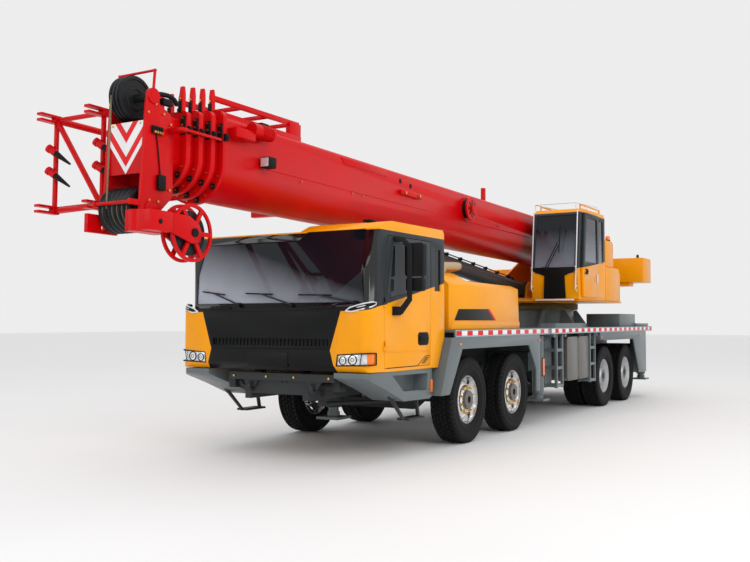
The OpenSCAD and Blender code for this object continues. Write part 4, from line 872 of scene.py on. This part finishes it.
black, bright = fresh(2)
for tip, end, root in (((-1.0, 1.83), (-0.64, 1.79), (-0.40, 1.675)),
                       ((-0.34, 1.80), (0.03, 1.785), (0.32, 1.67)),
                       ((0.38, 1.775), (0.80, 1.765), (1.06, 1.685))):
    bar(black, on_glass(*tip, 0.012), on_glass(*end, 0.012), 0.008, 10)
    bar(black, on_glass(*tip, 0.022), on_glass(*end, 0.022), 0.006, 8)
    middle = ((tip[0] * 0.4 + end[0] * 0.6), (tip[1] * 0.4 + end[1] * 0.6))
    bar(bright, on_glass(*middle, 0.030), on_glass(*root, 0.030), 0.009, 10, 0.012)
    bar(black, on_glass(*root, -0.01), on_glass(*root, 0.045), 0.022, 18)
for y in (-0.667, 0.70):
    block(black, (2.36, y - 0.15, 1.625), (2.405, y + 0.15, 1.652), 0.01)
    for i in range(5):
        block(black, (2.375, y - 0.13 + 0.055 * i, 1.648), (2.392, y - 0.10 + 0.055 * i, 1.662), 0.003)
block(black, (2.33, -1.02, 1.596), (2.394, 1.02, 1.632), 0.01)
block(black, (1.87, 0.95, 2.556), (1.99, 1.05, 2.584), 0.008)
on_truck("wiper_blades", black, "carrier", soft_black, "trim")
on_truck("wiper_arms", bright, "carrier", trim_grey, "steel")
bright, black = fresh(2)
for s in (1, -1):
    outline = [(2.396, 0.995, 1.598), (2.398, 1.05, 1.635), (2.372, 1.19, 1.672), (2.285, 1.252, 1.690),
               (2.215, 1.254, 1.686), (2.225, 1.254, 1.665), (2.300, 1.252, 1.642), (2.376, 1.19, 1.618),
               (2.398, 1.07, 1.592), (2.396, 0.995, 1.598)]
    inner = [(2.396, 1.03, 1.612), (2.374, 1.19, 1.648), (2.29, 1.251, 1.668)]
    inlay = [(2.386, 1.02, 1.612), (2.364, 1.18, 1.645), (2.29, 1.240, 1.666), (2.23, 1.242, 1.674)]
    for bm, points, radius, smooth in ((bright, outline, 0.0085, False), (bright, inner, 0.006, True),
                                       (black, inlay, 0.018, True)):
        hose(bm, [(x, s * y, z) for x, y, z in points], radius, smooth)
on_truck("corner_lamps", bright, "carrier", rail_white, "lamp")
on_truck("corner_lamp_inlays", black, "carrier", soft_black, "trim")

# %% [markdown]
# ## Lamps
# Every lamp has a coloured or silvered lens. The head lamps wrap the nose corner: silver in front
# with two reflector bowls, amber on the side.

# %% Lamp lenses
LAMP_CORNER, LAMP_FACE = 2.345, 2.387
lamps = eased("lamps", 0.002)
cut(lamps, (LAMP_CORNER + AXLE_1, 0, 0), (1, 0, 0))
tint(lamps, 1, lambda m, n: m.x < LAMP_CORNER + AXLE_1)
tint(lamps, 2, lambda m, n: m.x < -6 + AXLE_1 and abs(m.y) < 1.2)
swap("lamps", lamps, [silver_glass, amber, tail_red])
black, bright = fresh(2)
for s in (1, -1):
    bezel = [(2.390, 0.878, 1.033), (2.390, 1.21, 1.043), (2.34, 1.254, 1.045), (2.215, 1.256, 1.046),
             (2.215, 1.256, 1.164), (2.34, 1.254, 1.166), (2.390, 1.21, 1.164), (2.390, 0.893, 1.146),
             (2.390, 0.878, 1.033)]
    hose(black, [(x, s * y, z) for x, y, z in bezel], 0.0065, smooth=False, around=2)
    hose(black, [(2.391, s * 1.165, 1.045), (2.391, s * 1.185, 1.163)], 0.004, smooth=False, around=2)
    for y, z, r in ((0.955, 1.088, 0.036), (1.075, 1.098, 0.044)):
        spot, ahead = (LAMP_FACE, s * y, z), (1, 0, 0)
        band(black, (r, r + 0.007), (0.0, 0.007), spot, ahead, 36)
        ring(black, [(r * 0.30, 0.004), (r * 0.48, 0.008), (r * 0.48, 0.004)], spot, ahead, 30)
        ring(bright, [(0.002, 0.004), (r * 0.5, 0.006), (r, 0.002), (r, 0.0), (0.002, 0.0)], spot, ahead, 36)
    for i in range(7):
        y, z = 0.905 + 0.037 * i, 1.046 + 0.0012 * i
        side_block(bright, s, (2.3875, 2.391), (y, y + 0.02), (z, z + 0.006), 0.001)
on_truck("head_lamp_bezels", black, "carrier", soft_black, "trim")
on_truck("head_lamp_bowls", bright, "carrier", chrome, "lamp")

# %% [markdown]
# ## Doors
# The handle is a black cup, the lower skin has a pressed crease, and a thin dark line runs under it.
# These ride on the doors, so they swing out with them.

# %% Door trim
DOOR_SKIN, LINE_OUT, CUP_OUT = 1.2498, 1.2512, 1.256
for side, s in SIDES:
    black, line, crease = fresh(3)
    plate(black, [(1.05, 1.25), (1.08, 1.225), (1.27, 1.225), (1.30, 1.25), (1.30, 1.345), (1.27, 1.37),
                  (1.08, 1.37), (1.05, 1.345)], s * DOOR_SKIN, s * CUP_OUT, "Y", 0.002)
    side_block(black, s, (1.07, 1.28), (1.255, 1.274), (1.285, 1.315), 0.008)
    plate(line, [(1.98, 1.004), (1.31, 1.004), (1.128, 1.106), (1.016, 1.106), (1.016, 1.098), (1.125, 1.098),
                 (1.307, 0.996), (1.98, 0.996)], s * DOOR_SKIN, s * LINE_OUT, "Y", 0.0002)
    for i in range(4):
        x = 1.22 - 0.024 * i
        plate(line, [(x, 1.02), (x - 0.012, 1.02), (x - 0.112, 1.09), (x - 0.10, 1.09)],
              s * DOOR_SKIN, s * LINE_OUT, "Y", 0.0002)
    plate(crease, [(1.98, 1.176), (1.02, 1.160), (1.02, 1.148), (1.98, 1.164)],
          s * DOOR_SKIN, s * CUP_OUT, "Y", 0.004)
    on_truck(f"door_handle_{side}", black, f"cab_door_{side}", soft_black, "trim")
    on_truck(f"door_line_{side}", line, f"cab_door_{side}", panel_black, "trim")
    on_truck(f"door_crease_{side}", crease, f"cab_door_{side}", yellow, "yellow")

# %% [markdown]
# ## Engine cover
# A ledge runs round the foot of the cover, and a slanted dark panel with a red edge decorates each
# side. Behind the cab an air intake elbow rises out of the cover.

# %% Cover trim
COVER_SKIN, PANEL_OUT = 1.1995, 1.2015
ledge, dark, edge_red, pipe = fresh(4)
for s in (1, -1):
    plate(ledge, [(0.40, 1.392), (0.40, 1.42), (0.30, 1.487), (-1.80, 1.487), (-1.80, 1.392)],
          s * 1.199, s * 1.216, "Y", 0.004)
    for bm, outline in ((dark, [(0.146, 1.643), (-0.717, 1.652), (-0.931, 1.503), (0.271, 1.503)]),
                        (edge_red, [(-0.717, 1.652), (-0.784, 1.653), (-1.006, 1.503), (-0.931, 1.503)])):
        plate(bm, outline, s * COVER_SKIN, s * PANEL_OUT, "Y", 0.0004)
    side_block(dark, s, (-1.62, -1.57), (1.199, 1.206), (1.425, 1.455), 0.003)
hose(pipe, [(0.27, 1.02, 1.90), (0.27, 1.02, 2.08), (0.20, 1.02, 2.16), (0.05, 1.02, 2.18),
            (-0.20, 1.02, 2.19),
            (-0.36, 0.92, 2.19), (-0.40, 0.70, 2.12), (-0.40, 0.62, 1.90)], 0.05)
on_truck("cover_ledge", ledge, "carrier", yellow, "yellow")
on_truck("cover_dark_panel", dark, "carrier", panel_black, "black_panel")
on_truck("cover_red_edge", edge_red, "carrier", red, "red")
on_truck("intake_elbow", pipe, "carrier", pale_bronze, "steel")

# %% [markdown]
# ## Deck edge
# A bare pale rail closes the deck along its sides, and red and white tape runs on it.

# %% Edge rail and tape
rail, tape = fresh(2)
for s in (1, -1):
    for x0, x1 in ((-8.60, -2.72), (-2.62, 0.545)):
        side_block(rail, s, (x0, x1), (1.3495, 1.3515), (1.302, 1.388), 0.0005)
        side_block(tape, s, (x0 + 0.02, x1 - 0.02), (1.351, 1.353), (1.320, 1.376), 0.0005)
on_truck("deck_edge_rail", rail, "carrier", pale_edge, "steel")
on_truck("deck_marker_tape", tape, "carrier", marker_tape, "red")

# %% [markdown]
# ## Tanks and ring
# The fuel tank is brushed metal between painted boxes. The slewing ring shows its gear teeth all
# round, so a block is set on the CAD ring every few degrees.

# %% Tank finish and gear teeth
boxes = eased("side_boxes", 0.008)
tint(boxes, 1, lambda m, n: m.z < 1.28)
swap("side_boxes", boxes, [slate, tank_metal])
TEETH = 120
teeth = eased("slew_ring", 0.004)
low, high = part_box("slew_ring")
middle, radius = (low + high) / 2, (high.x - low.x) / 2
half = Vector((0.015, 0.008, (high.z - low.z) * 0.42))
for i in range(TEETH):
    a = 2 * math.pi * i / TEETH
    spot = Vector((middle.x + radius * math.cos(a), middle.y + radius * math.sin(a), middle.z))
    block(teeth, spot - half, spot + half, 0.0, turn=Matrix.Rotation(a, 3, "Z"))
swap("slew_ring", teeth, [gear_steel])

# %% [markdown]
# ## Operator's cab
# The pillars and window frames are dark, the roof and the lower skin are orange, and a black chin
# closes the front below the glass. White hand rails stand at both front corners and lie on the
# roof, and a parallel wiper crosses the screen.

# %% Colour bands and rails
low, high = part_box("operator_cab")
front, ROOF = high.x - AXLE_1, 3.29
rise, sill = Vector((0.12, 0, 1)).normalized(), Vector((high.x, 0, 2.35))
cabin = eased("operator_cab", 0.008)
cut(cabin, sill, rise)
cut(cabin, (0, 0, ROOF), (0, 0, 1))
tint(cabin, 1, lambda m, n: (m - sill).dot(rise) > 0 and m.z < ROOF)
swap("operator_cab", cabin, [orange, trim_grey])
door = eased("operator_door", 0.005)
cut(door, sill, rise)
tint(door, 1, lambda m, n: (m - sill).dot(rise) > 0)
swap("operator_door", door, [orange, trim_grey])
chin, white, black = fresh(3)
plate(chin, [(0.74, 1.865), (1.12, 1.865), (1.10, 2.235), (1.305, 2.325), (1.305, 2.375), (0.535, 2.375),
             (0.535, 2.325), (0.755, 2.235)], front - 0.004, front + 0.006, "X", 0.003)
for y in (0.545, 1.295):
    hose(white, [(front - 0.01, y, 1.98), (front + 0.05, y, 2.02), (front - 0.10, y, 3.30),
                 (front - 0.16, y, 3.30)], 0.010, smooth=False)
    for z in (2.05, 2.36):
        block(white, (front - 0.02, y - 0.010, z), (front + 0.045, y + 0.010, z + 0.025), 0.003)
lead = front - 0.10
hose(white, [(lead, 0.57, 3.34), (lead, 0.57, 3.43), (lead, 1.27, 3.43), (lead, 1.27, 3.34)], 0.009,
     smooth=False)
for y in (0.57, 1.27):
    hose(white, [(lead, y, 3.43), (front - 1.2, y, 3.47), (front - 1.2, y, 3.34)], 0.009, smooth=False)
    bar(white, (front - 0.65, y, 3.34), (front - 0.65, y, 3.45), 0.009, 10)
block(white, (front - 0.03, 0.60, 1.83), (front + 0.02, 1.25, 1.855), 0.006)
for y in (0.99, 1.03):
    bar(black, (front + 0.012, y - 0.22, 2.36), (front + 0.012, y, 2.78), 0.008, 10)
bar(black, (front + 0.016, 1.01, 2.62), (front + 0.016, 1.04, 3.05), 0.009, 10)
block(black, (front - 0.005, 0.70, 2.335), (front + 0.03, 0.84, 2.38), 0.008)
on_truck("operator_cab_chin", chin, "upper_works", panel_black, "black_panel")
on_truck("operator_cab_rails", white, "upper_works", rail_white, "steel")
on_truck("operator_cab_wiper", black, "upper_works", soft_black, "trim")

# %% [markdown]
# ## Counterweight
# Two lifting eyes stand on pads on top of the slab.

# %% Lifting eyes
eyes, pads = fresh(2)
low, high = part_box("counterweight")
for y in (-1.05, 1.05):
    band(eyes, (0.03, 0.058), (-0.014, 0.014), (low.x + 0.32, y, high.z + 0.045), steps=28)
    block(pads, (low.x + 0.26, y - 0.05, high.z - 0.002), (low.x + 0.38, y + 0.05, high.z + 0.012), 0.004)
done("weight_eyes", eyes, "upper_works", [soft_black], slot="steel")
done("weight_eye_pads", pads, "upper_works", [orange], slot="orange")

# %% [markdown]
# ## Side reflectors and operator's door trim
# Amber reflectors mark the outriggers and ride on their beams. The sliding door has a black grip
# and a pale slot.

# %% Reflectors and door trim
for spot, z0, z1 in (("front", 0.70, 0.945), ("rear", 0.80, 1.0)):
    for side, s in SIDES:
        node = f"beam_{spot}_{side}"
        low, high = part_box(node)
        x = (low.x + high.x) / 2
        lens, base = fresh(2)
        inner = (1.286, 1.298) if s > 0 else (1.286, 1.304)
        side_block(base, s, (x - 0.042, x + 0.042), inner, (z0 - 0.015, z1 + 0.015), 0.003)
        side_block(lens, s, (x - 0.034, x + 0.034), (1.286, 1.304), (z0, z1), 0.006)
        done(f"reflector_base_{spot}_{side}", base, body_of[node], [dark_slate], slot="trim")
        done(f"reflector_{spot}_{side}", lens, body_of[node], [amber], slot="lamp")
grip, pale = fresh(2)
low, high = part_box("operator_door")
x, y = high.x - AXLE_1, high.y
block(grip, (x - 0.20, y - 0.004, 2.26), (x - 0.08, y + 0.006, 2.35), 0.004)
block(grip, (x - 0.18, y + 0.004, 2.295), (x - 0.10, y + 0.018, 2.32), 0.005)
block(pale, (x - 0.74, y - 0.004, 2.13), (x - 0.69, y + 0.004, 2.28), 0.002)
on_truck("operator_door_grip", grip, "operators_door", soft_black, "trim")
on_truck("operator_door_slot", pale, "operators_door", rail_white, "steel")

# %% [markdown]
# ## Pipes on the luffing cylinder
# Two steel pipes lie along the barrel in clamps and feed its ends.

# %% Luffing pipes
pin = Vector(joints["luff_barrel_swing"]["pos_m"])
way = Vector(joints["luff_rod_slide"]["axis"]).normalized()
LUFF = Matrix.Translation(pin) @ way.to_track_quat("X", "Z").to_matrix().to_4x4()
reach = max((LUFF.inverted() @ v.co).x for v in frame["nodes"]["luff_barrel"].data.vertices)
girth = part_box("luff_barrel")[1].y
pipes, clamps = fresh(2)
for y in (0.03, 0.06):
    top, end = math.sqrt(girth ** 2 - y ** 2) + 0.010, reach - y
    hose(pipes, [(0.45, y, top - 0.03), (0.52, y, top), (end - 0.35, y, top), (end - 0.28, y, top - 0.03)],
         0.009,
         smooth=False)
for i in range(6):
    u = 0.7 + i * (reach - 1.3) / 5
    block(clamps, (u - 0.014, 0.012, girth - 0.03), (u + 0.014, 0.078, girth + 0.018), 0.004)
done("luff_pipes", pipes, body_of["luff_barrel"], [trim_grey], place=LUFF, slot="steel")
done("luff_pipe_clamps", clamps, body_of["luff_barrel"], [soft_black], place=LUFF, slot="trim")
print("barrel reaches", round(reach, 3), "girth", round(girth, 3))

# %% [markdown]
# ## Filter tower and beacon
# A narrow orange housing stands behind the operator's cab, with an amber beacon on top.

# %% Filter tower
x1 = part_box("operator_cab")[0].x - 0.12
beacon_x, beacon_y = x1 - 0.40, 1.22
tower, base, beacon = fresh(3)
block(tower, (x1 - 0.52, 0.98, 2.4498), (x1, 1.29, 2.92), 0.03, segments=3)
block(tower, (x1 - 0.50, 1.00, 2.915), (x1 - 0.02, 1.27, 2.94), 0.01)
bar(base, (beacon_x, beacon_y, 2.935), (beacon_x, beacon_y, 2.96), 0.045, 28)
ring(beacon, [(0.002, 0.0), (0.042, 0.0), (0.040, 0.055), (0.030, 0.075), (0.002, 0.082)],
     (beacon_x, beacon_y, 2.958), (0, 0, 1), 28)
done("filter_tower", tower, "upper_works", [orange], slot="orange")
done("tower_beacon_base", base, "upper_works", [soft_black], slot="trim")
done("tower_beacon", beacon, "upper_works", [amber], slot="lamp")

# %% [markdown]
# ## Seat pads
# The seats are upholstered: a cushion and a back, with a head rest on the two front seats, each a
# block subdivided into a soft pad.


# %% Seat pads
def pad(bm, foot, top, width, thick, middle):
    foot, top = Vector((foot[0], middle, foot[1])), Vector((top[0], middle, top[1]))
    along, across = (top - foot).normalized(), Vector((0, 1, 0))
    turn = Matrix((along, across, along.cross(across))).transposed().to_4x4()
    cube = bmesh.new()
    bmesh.ops.create_cube(cube, size=2)
    bmesh.ops.subdivide_edges(cube, edges=cube.edges, cuts=9, use_grid_fill=True)
    for vert in cube.verts:
        a, b, c = vert.co
        pinch = 1 - 0.05 * (1 - a * a) - 0.04 * (1 - b * b)
        crown = 0.72 + 0.28 * (1 - a ** 4) * (1 - b ** 4)
        seam = 0.10 * math.exp(-((abs(b) - 0.55) / 0.05) ** 2)
        round_off = 1 - 0.16 * abs(c) ** 3
        vert.co = (a * pinch * round_off, b * pinch * round_off, c * (crown - seam))
    bmesh.ops.smooth_vert(cube, verts=cube.verts, factor=0.4, use_axis_x=True, use_axis_y=True,
                          use_axis_z=True)
    bmesh.ops.scale(cube, vec=((top - foot).length / 2, width / 2, thick / 2), verts=cube.verts)
    cube.transform(Matrix.Translation((foot + top) / 2) @ turn)
    pour(cube, bm)


driver, operator = fresh(2)
for middle in (0.64, -0.64):
    pad(driver, (1.16, 1.515), (1.58, 1.555), 0.50, 0.11, middle)
    pad(driver, (1.135, 1.56), (1.03, 1.98), 0.50, 0.11, middle)
    pad(driver, (1.015, 2.02), (0.975, 2.18), 0.28, 0.10, middle)
on_truck("driver_seat_pads", driver, "carrier", seat_cloth, "trim")
low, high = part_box("operator_seat")
middle = (low.y + high.y) / 2
pad(operator, (low.x + 0.20, low.z + 0.435), (low.x + 0.61, low.z + 0.48), 0.46, 0.10, middle)
pad(operator, (low.x + 0.175, low.z + 0.47), (low.x + 0.085, low.z + 1.0), 0.46, 0.10, middle)
done("operator_seat_pads", operator, "upper_works", [seat_cloth], slot="trim")

# %% [markdown]
# ## Rope on the winches
# Both drums are wound full. One spun outline with a round for each turn of rope gives the layer.

# %% Rope layers
DRUM_HALF, TURN, TURNS = 0.29, 0.02, 29
for node, joint in (("winch_main", "main_winch_turn"), ("winch_aux", "second_winch_turn")):
    hub = Vector(joints[joint]["pos_m"])
    outline = [(0.168, -DRUM_HALF)]
    for i in range(TURNS):
        y = -DRUM_HALF + TURN * i
        outline += [(0.190, y + 0.001), (0.198, y + 0.006), (0.198, y + 0.014), (0.190, y + 0.019)]
    outline.append((0.168, DRUM_HALF))
    rope = bmesh.new()
    ring(rope, outline, (hub.x, 0, hub.z), steps=56)
    done(node + "_rope", rope, body_of[node], [rope_steel], slot="steel")

# %% [markdown]
# ## Tail
# Frames hold the tail lamps, with an amber and a clear part beside the red. A blank plate holder and
# a towing eye sit on the rear cross beam.

# %% Tail lamp frames and towing eye
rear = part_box("chassis_frame")[0].x - AXLE_1
FRAME_X, LENS_X, LENS_Z = (rear - 0.03, rear + 0.002), (rear - 0.0285, rear - 0.020), (0.624, 0.716)
black, amber_lens, clear = fresh(3)
for s in (1, -1):
    for z in ((0.606, 0.622), (0.718, 0.734)):
        side_block(black, s, FRAME_X, (0.47, 1.09), z, 0.003)
    for y in (0.465, 0.665, 0.875, 1.081):
        block(black, (FRAME_X[0], s * y - 0.008, 0.606), (FRAME_X[1], s * y + 0.008, 0.734), 0.003)
    side_block(amber_lens, s, LENS_X, (0.88, 1.073), LENS_Z, 0.003)
    side_block(clear, s, LENS_X, (0.473, 0.66), LENS_Z, 0.003)
block(black, (rear - 0.012, -0.26, 0.82), (rear + 0.004, 0.26, 0.94), 0.004)
band(black, (0.035, 0.07), (-0.02, 0.02), (rear - 0.02, 0, 0.70), steps=32)
block(black, (rear - 0.01, -0.09, 0.62), (rear + 0.004, 0.09, 0.78), 0.006)
on_truck("tail_frames", black, "carrier", soft_black, "trim")
on_truck("tail_amber", amber_lens, "carrier", amber, "lamp")
on_truck("tail_clear", clear, "carrier", silver_glass, "lamp")

# %% [markdown]
# ## Under the nose
# Dark steering boxes, a round tie bar and clamped pipes fill the space behind the front beam.

# %% Under-nose fittings
dark, bright = fresh(2)
bar(dark, (2.05, -0.78, 0.80), (2.05, 0.78, 0.80), 0.045, 20)
for y in (-0.70, -0.05, 0.32, 0.70):
    block(dark, (1.98, y - 0.05, 0.74), (2.142, y + 0.05, 0.89), 0.012)
block(dark, (1.72, 0.20, 0.66), (2.00, 0.50, 0.92), 0.025)
block(dark, (1.74, -0.62, 0.68), (2.00, -0.30, 0.90), 0.025)
bar(dark, (1.86, 0.35, 0.56), (1.86, 0.35, 0.68), 0.05, 20)
bar(dark, (1.86, 0.35, 0.58), (0.85, 0.62, 0.55), 0.022, 14)
for y in (-0.50, -0.42, 0.08, 0.14):
    hose(dark, [(2.24, y, 0.84), (2.16, y, 0.78), (1.95, y, 0.77), (1.72, y * 0.9, 0.80),
                (1.55, y * 0.8, 0.84)],
         0.014)
for y in (-0.323, 0.505):
    band(dark, (0.028, 0.055), (-0.018, 0.018), (2.262, y, 0.775), steps=28)
for y in (-0.55, -0.10, 0.27, 0.72):
    bar(bright, (2.288, y, 0.89), (2.298, y, 0.89), 0.014, 6)
on_truck("under_nose_fittings", dark, "carrier", dark_slate, "trim")
on_truck("under_nose_bolts", bright, "carrier", zinc_gold, "steel")

# %% [markdown]
# ## Stage and light
# The photograph is a cut-out on white with a soft shadow under the truck. A pale floor, a white
# world and three large soft lamps give the same open shade and long highlights.

# %% Floor, world and lamps
floor_mesh = bpy.data.meshes.new("floor")
bm = bmesh.new()
bmesh.ops.create_grid(bm, x_segments=1, y_segments=1, size=90)
bm.to_mesh(floor_mesh)
bm.free()
floor = bpy.data.objects.new("floor", floor_mesh)
bpy.context.scene.collection.objects.link(floor)
floor_mesh.materials.append(finish("pale_floor", (0.86, 0.86, 0.86), (0.6, 0.7), patch=0.2, vary=0.01,
                                   bump=0.0))
floor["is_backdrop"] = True
world = bpy.data.worlds.new("studio")
bpy.context.scene.world = world
world.use_nodes = True
feed(world.node_tree, world.node_tree.nodes["Background"], Color=(1.0, 1.0, 1.0, 1), Strength=0.85)


def lamp(name, place, aim, size, power):
    light = bpy.data.lights.new(name, "AREA")
    light.shape = "RECTANGLE"
    light.size, light.size_y = size
    light.energy = power
    holder = bpy.data.objects.new(name, light)
    bpy.context.scene.collection.objects.link(holder)
    holder.location = place
    holder.rotation_mode = "QUATERNION"
    holder.rotation_quaternion = (Vector(aim) - Vector(place)).to_track_quat("-Z", "Y")


lamp("key", (9, 12, 9), (1, 0, 1.5), (9, 6), 620)
lamp("nose", (16, -5, 6), (3, 0, 1.8), (6, 5), 160)
lamp("top", (1, 1, 13), (0, 0, 1), (16, 7), 300)
print("stage, world and three lamps")

# %% Finish
low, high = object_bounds()
print("visual box", [round(v, 3) for v in high - low])
